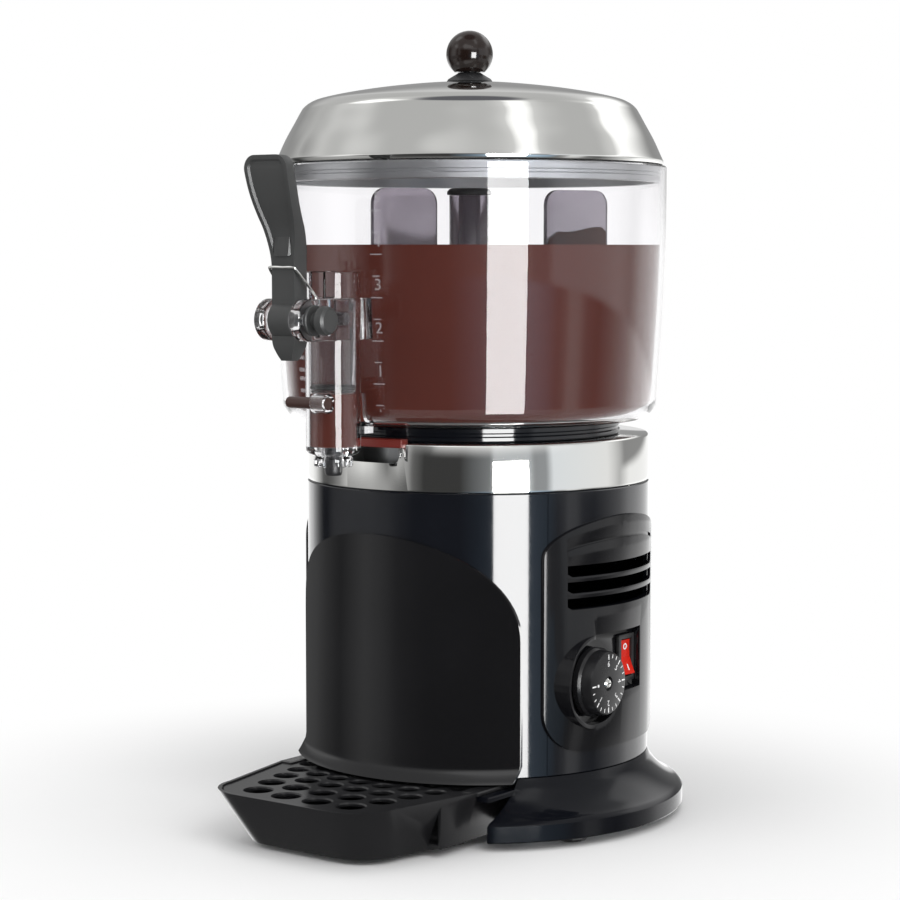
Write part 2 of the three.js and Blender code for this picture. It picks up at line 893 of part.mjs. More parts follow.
function driveShaft() {
  return rod(shaftRadius, gearboxLow + gearboxHeight / 3 + gap, shaftTop - shaftRadius, smallSides)
    .add(block(
      [-shaftRadius * 0.7, -shaftRadius * 0.7, shaftTop - shaftRadius - overlapJoin],
      [shaftRadius * 0.7, shaftRadius * 0.7, shaftTop],
    ));
}

// Bowl with the tap's tube and cheeks moulded on

const bowlFloor = bowlBottom + bowlWall;

function bowlProfile(inset) {
  const top = bowlTopRadius - inset;
  const foot = bowlFootRadius - inset;
  const corner = bowlCornerRadius - inset / 2;
  const low = bowlBottom + inset;
  const steps = 3;
  const wall = [];
  for (let step = 1; step <= steps; step += 1) {
    const share = step / steps;
    const height = low + corner + (bowlBellyHeight - corner) * share;
    wall.push([foot + (top - foot) * Math.sin((share * Math.PI) / 2), height]);
  }
  return [...arcPoints(foot - corner, low + corner, corner, -90, 0), ...wall];
}

const tapY = bowlForward - tapForward;
const pivotY = bowlForward - pivotForward;
const bore = tubeRadius - tubeWall;

function bowl() {
  const outer = turned([[0, bowlBottom], ...bowlProfile(0), [bowlTopRadius, bowlTop], [0, bowlTop]]);
  const inside = turned([
    [0, bowlFloor],
    ...bowlProfile(bowlWall),
    [bowlTopRadius - bowlWall, bowlTop + overrun],
    [0, bowlTop + overrun],
  ]);
  const hub = rod(bowlHubRadius, bowlFloor - overlapJoin, bowlBottom + bowlHubHeight, partSides);
  const hubHole = rod(sealRadius + gap, 0, bowlBottom + bowlHubHeight + overrun, partSides);

  const tube = turned([
    [0, tubeBottom - coneHeight],
    [coneRadius, tubeBottom - coneHeight],
    [tubeRadius, tubeBottom],
    [tubeRadius, tubeTop],
    [0, tubeTop],
  ], partSides).translate([0, tapY, 0]);
  const web = block(
    [-webThickness / 2, tapY, webBottom],
    [webThickness / 2, -bowlFootRadius + bowlCornerRadius, tubeTop],
  );
  let moulding = outer.add(tube).add(web);
  for (const side of [-1, 1]) {
    const low = side < 0 ? -earOuter : earInner;
    const high = side < 0 ? -earInner : earOuter;
    const ear = alongX(rod(earRadius, low, high, partSides), pivotY, pivotHeight);
    const cheek = block(
      [low, pivotY, pivotHeight - earRadius],
      [high, -bowlFootRadius, pivotHeight + earRadius],
    );
    moulding = moulding.add(ear).add(cheek);
  }
  const lugRod = rod(lugRadius, pegRight - lugWidth, pegRight, smallSides);
  const lug = alongX(lugRod, bowlForward - pegForward, pegHeight);
  moulding = moulding.add(lug);

  const tubeBore = turned([
    [0, tubeBottom + tubeFloor],
    [bore, tubeBottom + tubeFloor],
    [bore, tubeTop + pistonRelief],
    [0, tubeTop + pistonRelief],
  ], partSides).translate([0, tapY, 0]);
  const outlet = rod(outletRadius, 0, tubeTop, partSides).translate([0, tapY, 0]);
  const passage = block(
    [-passageWidth / 2, tapY, passageBottom],
    [passageWidth / 2, -bowlFootRadius + bowlCornerRadius * 2, passageBottom + passageHeight],
  );
  const armSlot = block([-slotWidth / 2, pivotY, slotBottom], [slotWidth / 2, tapY, tubeTop + overrun]);
  const pinRod = rod(pinRadius + gap, -earOuter - overrun, earOuter + overrun, smallSides);
  const pinHole = alongX(pinRod, pivotY, pivotHeight);
  const pegHole = alongX(
    rod(pegRadius + gap, pegRight - lugWidth - overrun, pegRight + overrun, smallSides),
    bowlForward - pegForward,
    pegHeight,
  );
  const wireHole = rod(wireRadius + gap, wireFootHeight - gap, wireShoulderHeight, smallSides);
  const leverRoom = block(
    [-earInner, pivotY - earRadius, pivotHeight - earRadius - overrun],
    [earInner, tapY - tubeRadius + overlapJoin, pivotHeight + earRadius + overrun],
  );
  return moulding
    .subtract(inside)
    .add(hub)
    .subtract(hubHole)
    .subtract(tubeBore)
    .subtract(outlet)
    .subtract(passage)
    .subtract(armSlot)
    .subtract(leverRoom.subtract(tube))
    .subtract(pinHole)
    .subtract(pegHole)
    .subtract(wireHole.translate([-earInner - wireFootInset, bowlForward - wireFootForward, 0]))
    .subtract(wireHole.translate([earInner + wireFootInset, bowlForward - wireFootForward, 0]));
}

// Outlet crown and tip under the tube

const crownTop = tubeBottom - coneHeight - gap;

function outletCrown() {
  const low = crownTop - crownHeight;
  const neck = outletRadius - gap;
  const inner = tipRadius + gap;
  let crown = turned([
    [inner, crownTop - crownWall],
    [crownRadius - crownWall, crownTop - crownWall],
    [crownRadius - crownWall, low],
    [crownRadius, low],
    [crownRadius, crownTop - crownWall / 2],
    [crownRadius - crownWall / 2, crownTop],
    [neck, crownTop],
    [neck, tubeBottom + tubeFloor - gap],
    [inner, tubeBottom + tubeFloor - gap],
  ], partSides);
  for (let notch = 0; notch < crownNotches / 2; notch += 1) {
    const cut = block(
      [-crownRadius - overrun, -crownNotchWidth / 2, low - overrun],
      [crownRadius + overrun, crownNotchWidth / 2, low + crownNotchDepth],
    );
    crown = crown.subtract(cut.rotate([0, 0, (notch * 360) / crownNotches]));
  }
  return crown;
}

function outletTip() {
  const low = crownTop - crownHeight - tipDrop;
  return turned([
    [tipBore, low],
    [tipRadius * 0.85, low],
    [tipRadius, low + tipDrop / 2],
    [tipRadius, tubeBottom + tubeFloor - gap],
    [tipBore, tubeBottom + tubeFloor - gap],
  ], smallSides);
}

// Piston: a skirt that the lever's arm lifts, a stem and a poppet that closes the outlet

const poppetLow = tubeBottom + tubeFloor + gap;
const skirtRing = pistonSkirtBottom + ringSection * 2;

function piston() {
  const skirt = bore - pistonClearance;
  const poppetTop = poppetLow + poppetCone + poppetHeight;
  const body = turned([
    [0, poppetLow],
    [outletRadius, poppetLow],
    [poppetRadius, poppetLow + poppetCone],
    [poppetRadius, poppetTop],
    [stemRadius, poppetTop],
    [stemRadius, pistonSkirtBottom],
    [skirt, pistonSkirtBottom],
    [skirt, skirtRing - ringSection],
    [skirt - ringGroove, skirtRing - ringSection],
    [skirt - ringGroove, skirtRing + ringSection],
    [skirt, skirtRing + ringSection],
    [skirt, pistonTop],
    [0, pistonTop],
  ], partSides);
  const room = armNoseRadius + armSlotClearance;
  const mouth = pushed(outline([
    [-bore, pivotHeight - room - mouthFlare],
    [-bore / 2, pivotHeight - room],
    [room, pivotHeight - room],
    [room, pivotHeight + room],
    [-bore, pivotHeight + room],
  ]), -leverArmWidth / 2 - armSlotClearance, leverArmWidth / 2 + armSlotClearance, acrossX);
  return body.subtract(mouth);
}

function skirtORing() {
  const outer = bore - gap / 3;
  const inner = bore - pistonClearance - ringGroove + gap;
  const half = ringSection - gap / 2;
  return turned([
    [inner, skirtRing - half],
    [outer - half / 2, skirtRing - half],
    [outer, skirtRing],
    [outer - half / 2, skirtRing + half],
    [inner, skirtRing + half],
  ], partSides);
}

function stopPeg() {
  const low = pegLeft;
  return alongX(turned([
    [0, low],
    [pegRadius * 0.6, low],
    [pegRadius, low + pegRadius * 0.6],
    [pegRadius, pegRight - gap],
    [0, pegRight - gap],
  ], smallSides), 0, pegHeight);
}

// Lever: its side view and its front view, each pushed through and intersected

// Up the paddle, its lean to the front, and its thinning
const leanShares = [
  [0, 0, 0],
  [0.12, 0.04, 0.05],
  [0.3, 0.2, 0.45],
  [0.55, 0.6, 0.9],
  [0.8, 0.9, 1],
  [1, 1, 1],
];

function paddleFace(depth) {
  const rise = paddleTop - neckHeight;
  const thinning = 1 - paddleThickness / leverThickness;
  return leanShares.map(([upShare, outShare, thinShare]) => [
    depth * (1 - thinning * thinShare) - leverThickness / 2 - leverTopLean * outShare,
    neckHeight + rise * upShare,
  ]);
}

function leverSide() {
  const half = leverThickness / 2;
  const front = paddleFace(0);
  const back = paddleFace(leverThickness);
  return outline([
    [leverTailHalf * 0.6, leverTailBottom],
    [half, leverTailBottom + leverTailHalf * 2],
    [half, pivotHeight],
    [half, neckHeight - half],
    ...back,
    ...front.reverse(),
    [-half, pivotHeight],
    [-half, leverTailBottom + leverTailHalf * 2],
    [-leverTailHalf * 0.6, leverTailBottom],
  ]);
}

const paddleShares = [[0, 0], [0.14, 0.16], [0.36, 0.52], [0.6, 0.82], [0.8, 0.97], [0.9, 1]];

function leverFront(inset) {
  const rise = paddleTop - inset - neckHeight;
  const right = paddleShares.map(([upShare, outShare]) => [
    neckHalf + (paddleHalf - neckHalf) * outShare - inset,
    neckHeight + rise * upShare,
  ]);
  const corner = paddleHalf * 0.36;
  const top = arcPoints(paddleHalf - corner - inset, paddleTop - corner - inset, corner, 0, 90);
  const half = [
    [neckHalf * 0.55, leverTailBottom],
    [neckHalf, leverTailBottom + leverTailHalf * 2],
    ...right,
    ...top,
  ];
  const mirrored = half.map(([u, v]) => [-u, v]).reverse();
  return [...half, ...mirrored];
}

function tapLever() {
  const sideForm = pushed(leverSide(), -paddleHalf - overrun, paddleHalf + overrun, acrossX);
  const frontForm = pushed(outline(leverFront(0)), -tubeTop, tubeTop, towardsFront);
  const hub = alongX(rod(hubRadius, -hubHalf, hubHalf, partSides), 0, pivotHeight);
  const reach = pivotForward - tapForward;
  const noseRod = rod(armNoseRadius, -leverArmWidth / 2, leverArmWidth / 2, smallSides);
  const nose = alongX(noseRod, reach, pivotHeight);
  const arm = block(
    [-leverArmWidth / 2, 0, pivotHeight - armNeckHalf],
    [leverArmWidth / 2, reach, pivotHeight + armNeckHalf],
  ).add(nose);
  const pinRod = rod(pinRadius + gap, -hubHalf - overrun, hubHalf + overrun, smallSides);
  const pinHole = alongX(pinRod, 0, pivotHeight);
  const dish = leverFront(paddleRimWidth).filter(([, height]) => height > neckHeight);
  const ahead = -leverThickness - leverTopLean;
  const dishSide = outline([...paddleFace(paddleRimDepth), [ahead, paddleTop], [ahead, neckHeight]]);
  const hollow = pushed(outline(dish), -tubeTop, tubeTop, towardsFront)
    .intersect(pushed(dishSide, -paddleHalf, paddleHalf, acrossX));
  return sideForm.intersect(frontForm).subtract(hollow).add(hub).add(arm).subtract(pinHole);
}

function pivotPin() {
  const shank = rod(pinRadius, -earOuter - gap, pinHeadOffset, smallSides);
  const washer = rod(pinWasherRadius, earOuter + gap, earOuter + gap + pinWasherThickness, partSides);
  const neck = rod(pinNeckRadius, earOuter + gap, pinHeadOffset + overlapJoin, smallSides);
  const edge = pinHeadThickness / 4;
  const head = turned([
    [0, pinHeadOffset],
    [pinHeadRadius - edge, pinHeadOffset],
    [pinHeadRadius, pinHeadOffset + edge],
    [pinHeadRadius, pinHeadOffset + pinHeadThickness - edge],
    [pinHeadRadius - edge, pinHeadOffset + pinHeadThickness],
    [0, pinHeadOffset + pinHeadThickness],
  ], partSides);
  return alongX(shank.add(washer).add(neck).add(head), 0, pivotHeight);
}

function leverWire() {
  const barY = -leverThickness / 2 - wireRadius - gap;
  const footY = pivotForward - wireFootForward;
  const footX = earInner + wireFootInset;
  const right = [
    new THREE.Vector3(wireHalf - wireRadius, barY, wireBarHeight),
    new THREE.Vector3(wireHalf, barY + wireRadius * 2, wireBarHeight - wireRadius * 2),
    new THREE.Vector3(footX, footY - wireRadius * 2, wireShoulderHeight + wireRadius * 2),
    new THREE.Vector3(footX, footY, wireShoulderHeight - wireRadius),
    new THREE.Vector3(footX, footY, wireFootHeight),
  ];
  const left = right.map((point) => new THREE.Vector3(-point.x, point.y, point.z)).reverse();
  return wire([...left, ...right], wireRadius, 5, 30);
}

// Lid with its seal and knob; heights from the bowl's rim

function lidProfile(inset) {
  const flare = lidFlareShares.map(([upShare, inShare]) => [
    lidRimRadius - inset - (lidRimRadius - lidShoulderRadius) * inShare,
    lidRimHeight + (lidShoulderHeight - lidRimHeight) * upShare - inset * inShare,
  ]);
  const crown = [];
  const steps = 3;
  for (let step = 1; step <= steps; step += 1) {
    const share = step / steps;
    crown.push([
      lidCrownRadius * Math.cos((share * Math.PI) / 2),
      lidCrownHeight - inset + (lidHeight - lidCrownHeight) * Math.sin((share * Math.PI) / 2),
    ]);
  }
  crown[steps - 1][0] = 0;
  return [...flare, [lidCrownRadius, lidCrownHeight - inset], ...crown];
}

function lidShell() {
  const outer = turned([[0, gap], [lidRimRadius, gap], ...lidProfile(0)]);
  const inner = turned([[0, -overrun], [lidRimRadius - lidWall * 2, -overrun], ...lidProfile(lidWall)]);
  return outer.subtract(inner).subtract(rod(studRadius + gap, 0, lidHeight + overrun, smallSides));
}

function lidSeal() {
  const outer = bowlTopRadius - bowlWall - gap * 2;
  const inner = outer - lidSkirtWidth;
  const top = lidRimHeight;
  const seat = lidRimRadius - lidWall * 2 - gap;
  return turned([
    [inner, -lidSkirtDepth],
    [outer, -lidSkirtDepth],
    [outer, 0],
    [Math.min(seat, outer), gap],
    [Math.min(seat, outer) - lidWall, top - gap],
    [inner, top - gap],
  ], innerSides);
}

const washerLow = lidHeight + gap;

function knobWasher() {
  return turned([
    [studRadius + gap, washerLow],
    [washerRadius, washerLow],
    [washerTopRadius, washerLow + washerHeight],
    [studRadius + gap, washerLow + washerHeight],
  ], partSides);
}

function knobBall() {
  const centre = knobHeight - knobBallRadius;
  const ballLow = washerLow + washerHeight + gap;
  const start = THREE.MathUtils.radToDeg(Math.asin((ballLow - centre) / knobBallRadius));
  const ball = arcPoints(0, centre, knobBallRadius, start, 90, arcSteps * 2);
  ball[ball.length - 1][0] = 0;
  const solid = turned([[0, ballLow], ...ball], partSides);
  return solid.subtract(rod(studRadius + gap, ballLow - overrun, centre, smallSides));
}

function knobStud() {
  const centre = knobHeight - knobBallRadius;
  const low = lidHeight - lidWall - gap;
  return rod(studHeadRadius, low - studHeadHeight, low, smallSides)
    .add(rod(studRadius, low - overlapJoin, centre - gap, smallSides));
}

// Stirrer: column, an inner and an outer blade, arms and wipers

const bladeLow = bowlFloor + bladeFloorGap;

function bladeOutline(start, end, side) {
  const points = [
    [start, bladeLow],
    [end, bladeLow + bladeShoulder / 2],
    ...arcPoints(end - bladeShoulder, bladeTop - bladeShoulder, bladeShoulder, 0, 90),
    ...arcPoints(start + bladeShoulder, bladeTop - bladeShoulder, bladeShoulder, 90, 180),
  ];
  const placed = points.map(([u, v]) => [u * side, v]);
  return outline(side < 0 ? placed.reverse() : placed);
}

function stirrer() {
  const column = rod(columnRadius, bowlBottom + bowlHubHeight + gap, columnTop, partSides);
  const shaftBore = rod(shaftRadius + shaftClearance, 0, shaftTop + gap, smallSides);
  const half = bladeThickness / 2;
  const blades = pushed(bladeOutline(outerBladeStart, outerBladeEnd, 1), -half, half, towardsFront)
    .add(pushed(bladeOutline(innerBladeStart, innerBladeEnd, -1), -half, half, towardsFront));
  const hubTop = bowlBottom + bowlHubHeight + gap;
  const arm = outline([
    [-innerBladeStart - overlapJoin, hubTop],
    [outerBladeStart + overlapJoin, hubTop],
    [outerBladeStart + overlapJoin, hubTop + armHeight * 0.6],
    [0, hubTop + armHeight],
    [-innerBladeStart - overlapJoin, hubTop + armHeight * 0.6],
  ]);
  const upper = outline([
    [-innerBladeStart - overlapJoin, upperArmLevel],
    [outerBladeStart + overlapJoin, upperArmLevel],
    [outerBladeStart + overlapJoin, upperArmLevel + upperArmHeight],
    [-innerBladeStart - overlapJoin, upperArmLevel + upperArmHeight],
  ]);
  return column
    .add(blades)
    .add(pushed(arm, -half, half, towardsFront))
    .add(pushed(upper, -half, half, towardsFront))
    .subtract(shaftBore);
}

function columnCap() {
  const low = columnTop + gap;
  return turned([
    [0, low],
    [capRadius, low],
    [capRadius - capHeight / 2, low + capHeight],
    [0, low + capHeight],
  ], partSides);
}

// A rubber wiper clipped over a blade's foot, riding just above the bowl's floor
function wiper(start, end, side) {
  const low = bowlFloor + gap;
  const outer = bladeThickness / 2 + gap + wiperThickness;
  const slit = bladeThickness / 2 + gap;
  const from = Math.min(start * side, end * side);
  const to = Math.max(start * side, end * side);
  return block([from, -outer, low], [to, outer, low + wiperWidth])
    .subtract(block(
      [from - overrun, -slit, bladeLow - gap],
      [to + overrun, slit, low + wiperWidth + overrun],
    ));
}

// Controls

const bodyFront = controlFloor - controlFloorThickness - gap;

function thermostat() {
  const body = rod(thermostatRadius, bodyFront - thermostatLength, bodyFront, partSides)
    .add(rod(thermostatNeck, bodyFront - overlapJoin, bodyFront + thermostatNeckLength, smallSides))
    .subtract(rod(knobShaftRadius + gap, knobShaftBack - gap, bezelFace, smallSides));
  return alongX(body, dialY, dialZ);
}

const knobBack = bodyFront + thermostatNeckLength + gap;

function thermostatKnob() {
  const knob = turned([
    [0, knobBack],
    [knobBaseRadius, knobBack],
    [knobBaseRadius, knobBack + knobSkirt],
    [knobFaceRadius + gap, knobBack + knobSkirt * 1.4],
    [knobFaceRadius, knobFace - gap * 2],
    [knobFaceRadius - gap * 2, knobFace],
    [0, knobFace],
  ], partSides);
  const bore = rod(knobShaftRadius + gap, knobBack - overrun, knobFace - knobScrewLength / 2, smallSides);
  const screwHole = rod(knobScrewRadius + gap, knobBack, knobFace + overrun, smallSides);
  const seatBack = knobFace - knobScrewHeadHeight;
  const screwSeat = rod(knobScrewHeadRadius + gap, seatBack, knobFace + overrun, smallSides);
  return alongX(knob.subtract(bore).subtract(screwHole).subtract(screwSeat), dialY, dialZ);
}

function knobShaft() {
  const front = knobFace - knobScrewLength / 2 - gap;
  const shaft = rod(knobShaftRadius, knobShaftBack, front, smallSides)
    .subtract(rod(knobScrewRadius + gap, front - knobScrewLength, front + overrun, smallSides));
  return alongX(shaft, dialY, dialZ);
}

function knobScrew() {
  const low = knobFace - knobScrewHeadHeight + gap;
  const head = rod(knobScrewHeadRadius, low, knobFace + gap, smallSides);
  const crossHalf = knobScrewRadius * 1.5;
  const cross = block([-crossHalf, -gap, knobFace - gap], [crossHalf, gap, knobFace + overrun]);
  const shank = rod(knobScrewRadius, low - knobScrewLength, low + overlapJoin / 2, smallSides);
  return alongX(head.add(shank).subtract(cross).subtract(cross.rotate([0, 0, 90])), dialY, dialZ);
}

const frameFront = controlFloor + gap + switchFrameThickness;

function switchBody() {
  const frameY = switchBodyHalfY + switchFrameMargin;
  const frameZ = switchBodyHalfZ + switchFrameMargin;
  const body = block(
    [-switchDepth, -switchBodyHalfY, -switchBodyHalfZ],
    [0, switchBodyHalfY, switchBodyHalfZ],
  );
  const frame = block([-switchFrameThickness, -frameY, -frameZ], [0, frameY, frameZ]);
  const pocket = block(
    [-switchFrameThickness - rockerDepth - gap, -rockerHalfY - gap, -rockerHalfZ - gap * 3],
    [overrun, rockerHalfY + gap, rockerHalfZ + gap * 3],
  );
  return body.add(frame).subtract(pocket).translate([frameFront, switchY, switchZ]);
}

function rocker() {
  const nose = rockerRise;
  const shape = outline([
    [-rockerDepth, 0],
    [-rockerDepth * 0.4, -rockerHalfZ * 0.9],
    [nose * 0.75, -rockerHalfZ],
    [nose * 0.2, 0],
    [nose * 0.75, rockerHalfZ],
    [-rockerDepth * 0.4, rockerHalfZ * 0.9],
  ]);
  return pushed(shape, -rockerHalfY, rockerHalfY, towardsFront)
    .rotate([0, -rockerTilt, 0])
    .translate([frameFront - switchFrameThickness, switchY, switchZ]);
}

// Wiring pieces

function terminalBlock() {
  const low = footHeight + gap + plateThickness + gap;
  let body = block([-terminalWidth / 2, 0, low], [terminalWidth / 2, terminalDepth, low + terminalHeight]);
  const pitch = terminalWidth / terminalSlots;
  for (let slot = 0; slot < terminalSlots; slot += 1) {
    const middle = -terminalWidth / 2 + pitch * (slot + 0.5);
    body = body.subtract(block(
      [middle - terminalSlotWidth / 2, -overrun, low + terminalHeight - terminalSlotDepth],
      [middle + terminalSlotWidth / 2, terminalDepth + overrun, low + terminalHeight + overrun],
    ));
  }
  return body;
}

function cableGland() {
  const face = housingRadius;
  return turned([
    [glandBore, face - glandIn],
    [glandRadius, face - glandIn],
    [glandRadius, face + gap],
    [glandFlange, face + gap],
    [glandFlange, face + glandOut / 3],
    [glandRadius * 0.75, face + glandOut],
    [glandBore, face + glandOut],
  ], smallSides).rotate([-90, 0, 0]);
}

// Drip tray and grid

function trayOutline(front, frontHalf, rearHalf, rear, corner) {
  return [
    [-rearHalf, rear],
    ...arcPoints(-frontHalf + corner, -front + corner, corner, 180, 270),
    ...arcPoints(frontHalf - corner, -front + corner, corner, 270, 360),
    [rearHalf, rear],
  ];
}

function loft(lowPoints, highPoints, low, high) {
  const count = lowPoints.length;
  const vertices = [...lowPoints.map(([x, y]) => [x, y, low]), ...highPoints.map(([x, y]) => [x, y, high])];
  const faces = [];
  const contour = lowPoints.map(([x, y]) => new THREE.Vector2(x, y));
  for (const [a, b, c] of THREE.ShapeUtils.triangulateShape(contour, [])) {
    faces.push([c, b, a], [a + count, b + count, c + count]);
  }
  for (let near = 0; near < count; near += 1) {
    const next = (near + 1) % count;
    faces.push([near, next, next + count], [near, next + count, near + count]);
  }
  const geometry = new THREE.BufferGeometry();
  const corners = faces.flat().flatMap((index) => vertices[index]);
  geometry.setAttribute("position", new THREE.Float32BufferAttribute(corners, 3));
  return solidOf(geometry);
}

function trayForm(inset, low, high) {
  const share = (level) => (level - trayBottom) / (trayRim - trayBottom);
  const at = (level) => {
    const reach = trayBottomFront + (trayFront - trayBottomFront) * share(level);
    const draft = trayDraft * (1 - share(level));
    const corner = trayCorner - inset;
    return trayOutline(
      reach - inset,
      trayFrontHalf - draft - inset,
      trayRearHalf - draft - inset,
      trayShoulderY - inset,
      corner,
    );
  };
  return loft(at(low), at(high), low, high);
}

function dripTray() {
  const rimLow = trayRim - trayFlange;
  const tub = trayForm(0, trayBottom, trayRim);
  const neck = block(
    [-trayNeckHalf, trayShoulderY - trayCorner, trayBottom + trayWall],
    [trayNeckHalf, trayRearY, trayRim],
  );
  const flange = block(
    [-trayRearHalf, trayShoulderY - overlapJoin, rimLow],
    [trayRearHalf, trayRearY, trayRim],
  );
  const hollow = trayForm(trayWall, trayBottom + trayWall, trayRim + overrun);
  const neckHollow = block(
    [-trayNeckHalf + trayWall, trayShoulderY - trayCorner, trayBottom + trayWall * 2],
    [trayNeckHalf - trayWall, trayRearY - trayWall, trayRim + overrun],
  );
  const seat = trayRim - gridDrop - gridThickness - gap;
  const ledge = trayForm(trayWall / 2, seat - gridLedge, seat).subtract(
    trayForm(trayWall + gridLedge, seat - gridLedge - overrun, seat + overrun),
  );
  const frontLedge = ledge.intersect(block(
    [-trayRearHalf, -trayFront, 0],
    [trayRearHalf, -trayBottomFront + trayCorner, trayRim],
  ));
  return tub.add(neck).add(flange).subtract(hollow).subtract(neckHollow).add(frontLedge);
}

function dripGrid() {
  const high = trayRim - gridDrop;
  const low = high - gridThickness;
  const plate = trayForm(trayWall + gap * 2, low, high).add(block(
    [-trayNeckHalf + trayWall + gap, trayShoulderY - trayCorner, low],
    [trayNeckHalf - trayWall - gap, trayRearY - trayWall - gap, high],
  ));
  let holes = null;
  for (const row of gridRowShares) {
    for (let place = 0; place < row.count; place += 1) {
      const x = gridHolePitch * row.pitch * (place - (row.count - 1) / 2);
      const y = (x * x) / (2 * gridBowRadius) - gridFirstRow * row.forward;
      const radius = gridHoleRadius * row.radius;
      const hole = rod(radius, low - overrun, high + overrun, gridHoleSides).translate([x, y, 0]);
      holes = holes ? holes.add(hole) : hole;
    }
  }
  return plate.subtract(holes);
}

// Assembly

const machine = new THREE.Group();

const base = new THREE.Group();
base.add(piece("foot_skirt", footSkirt(), blackGloss));
base.add(piece("base_plate", basePlate(), dullSteel));
footPlaces.forEach(([x, y], index) => {
  const foot = piece("rubber_foot_" + (index + 1), rubberFoot(), blackRubber);
  foot.position.set(x, y, 0);
  base.add(foot);
});
base.add(piece("housing_shell", housingShell(), blackGloss));
base.add(piece("front_panel", frontPanel(), blackGloss));
base.add(piece("right_side_panel", rightPanel(), blackGloss));
base.add(piece("left_side_panel", leftPanel(), blackGloss));
base.add(piece("steel_ring", steelRing(), steel));
base.add(piece("thermostat_body", thermostat(), dullSteel));
base.add(piece("switch_body", switchBody(), blackMatt));
const terminals = piece("terminal_block", terminalBlock(), ivoryPlastic);
terminals.position.y = terminalY;
base.add(terminals);
const gland = piece("cable_gland", cableGland(), blackMatt);
gland.position.z = glandHeight;
base.add(gland);
machine.add(base);

const knob = new THREE.Group();
knob.add(piece("thermostat_knob", thermostatKnob(), blackMatt));
knob.add(piece("knob_shaft", knobShaft(), dullSteel));
knob.add(piece("knob_screw", knobScrew(), steel));
machine.add(knob);
machine.add(piece("power_rocker", rocker(), redPlastic));

const bowlAxis = holderAt(0, -bowlForward, 0);
bowlAxis.add(piece("water_tank", waterTank(), dullSteel));
bowlAxis.add(piece("heating_element", heatingElement(), castMetal));
bowlAxis.add(piece("bowl_seal", bowlSeal(), blackRubber));
bowlAxis.add(piece("gearbox", gearbox(), castMetal));
const motor = piece("gear_motor", gearMotor(), castMetal);
motor.position.y = gearboxOffset;
bowlAxis.add(motor);
for (const [index, side] of [-1, 1].entries()) {
  const screw = piece("bridge_screw_" + (index + 1), bridgeScrew(), steel);
  screw.position.x = side * (gearboxWidth / 2 - gearboxCorner);
  bowlAxis.add(screw);
}
bowlAxis.add(piece("drive_shaft", driveShaft(), steel));
bowlAxis.add(piece("shaft_seal", shaftSeal(), redRubber));
bowlAxis.add(piece("bowl", bowl(), clearPlastic));
machine.add(piece("motor_bridge", motorBridge(), dullSteel));

const stirrerGroup = new THREE.Group();
stirrerGroup.rotation.z = THREE.MathUtils.degToRad(stirrerTurn);
stirrerGroup.add(piece("stirrer", stirrer(), smokedPlastic));
stirrerGroup.add(piece("column_cap", columnCap(), blackMatt));
const outerWiper = wiper(outerBladeStart + wiperOverlap, outerBladeEnd - bladeShoulder, 1);
stirrerGroup.add(piece("outer_wiper", outerWiper, blackRubber));
const innerWiper = wiper(innerBladeStart + wiperOverlap, innerBladeEnd - wiperOverlap, -1);
stirrerGroup.add(piece("inner_wiper", innerWiper, blackRubber));
bowlAxis.add(stirrerGroup);

const lid = holderAt(0, 0, bowlTop);
lid.add(piece("lid_shell", lidShell(), steel));
lid.add(piece("lid_seal", lidSeal(), clearPlastic));
lid.add(piece("knob_washer", knobWasher(), blackMatt));
lid.add(piece("lid_knob", knobBall(), blackGloss));
lid.add(piece("knob_stud", knobStud(), steel));
bowlAxis.add(lid);

const tap = holderAt(0, tapY, 0);
tap.add(piece("outlet_crown", outletCrown(), clearPlastic));
tap.add(piece("outlet_tip", outletTip(), blackMatt));
tap.add(piece("tap_piston", piston(), charcoal));
tap.add(piece("piston_o_ring", skirtORing(), blackRubber));
bowlAxis.add(tap);
const peg = piece("stop_peg", stopPeg(), brownPlastic);
peg.position.y = bowlForward - pegForward;
bowlAxis.add(peg);

const pivot = holderAt(0, pivotY, 0);
pivot.add(piece("tap_lever", tapLever(), charcoal));
pivot.add(piece("pivot_pin", pivotPin(), charcoal));
pivot.add(piece("lever_wire", leverWire(), steel));
bowlAxis.add(pivot);
machine.add(bowlAxis);

const tray = new THREE.Group();
tray.add(piece("drip_tray", dripTray(), blackGloss));
tray.add(piece("drip_grid", dripGrid(), blackGloss));
machine.add(tray);

const extent = new THREE.Box3().setFromObject(machine, true);
machine.position.y = -(extent.min.y + extent.max.y) / 2;

export default machine;
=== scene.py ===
# %% [markdown]
# # A hot chocolate dispenser in a light studio
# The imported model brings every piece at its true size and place, but with flat facets and plain colours.
# This script keeps those places, models the pieces that show once more with smooth, rounded forms,
# and gives each of them a finish made of nodes. It is read from top to bottom, one small step at a time.

# %% Load the frame
import bmesh
import bpy
import json
import math
from mathutils import Matrix, Vector


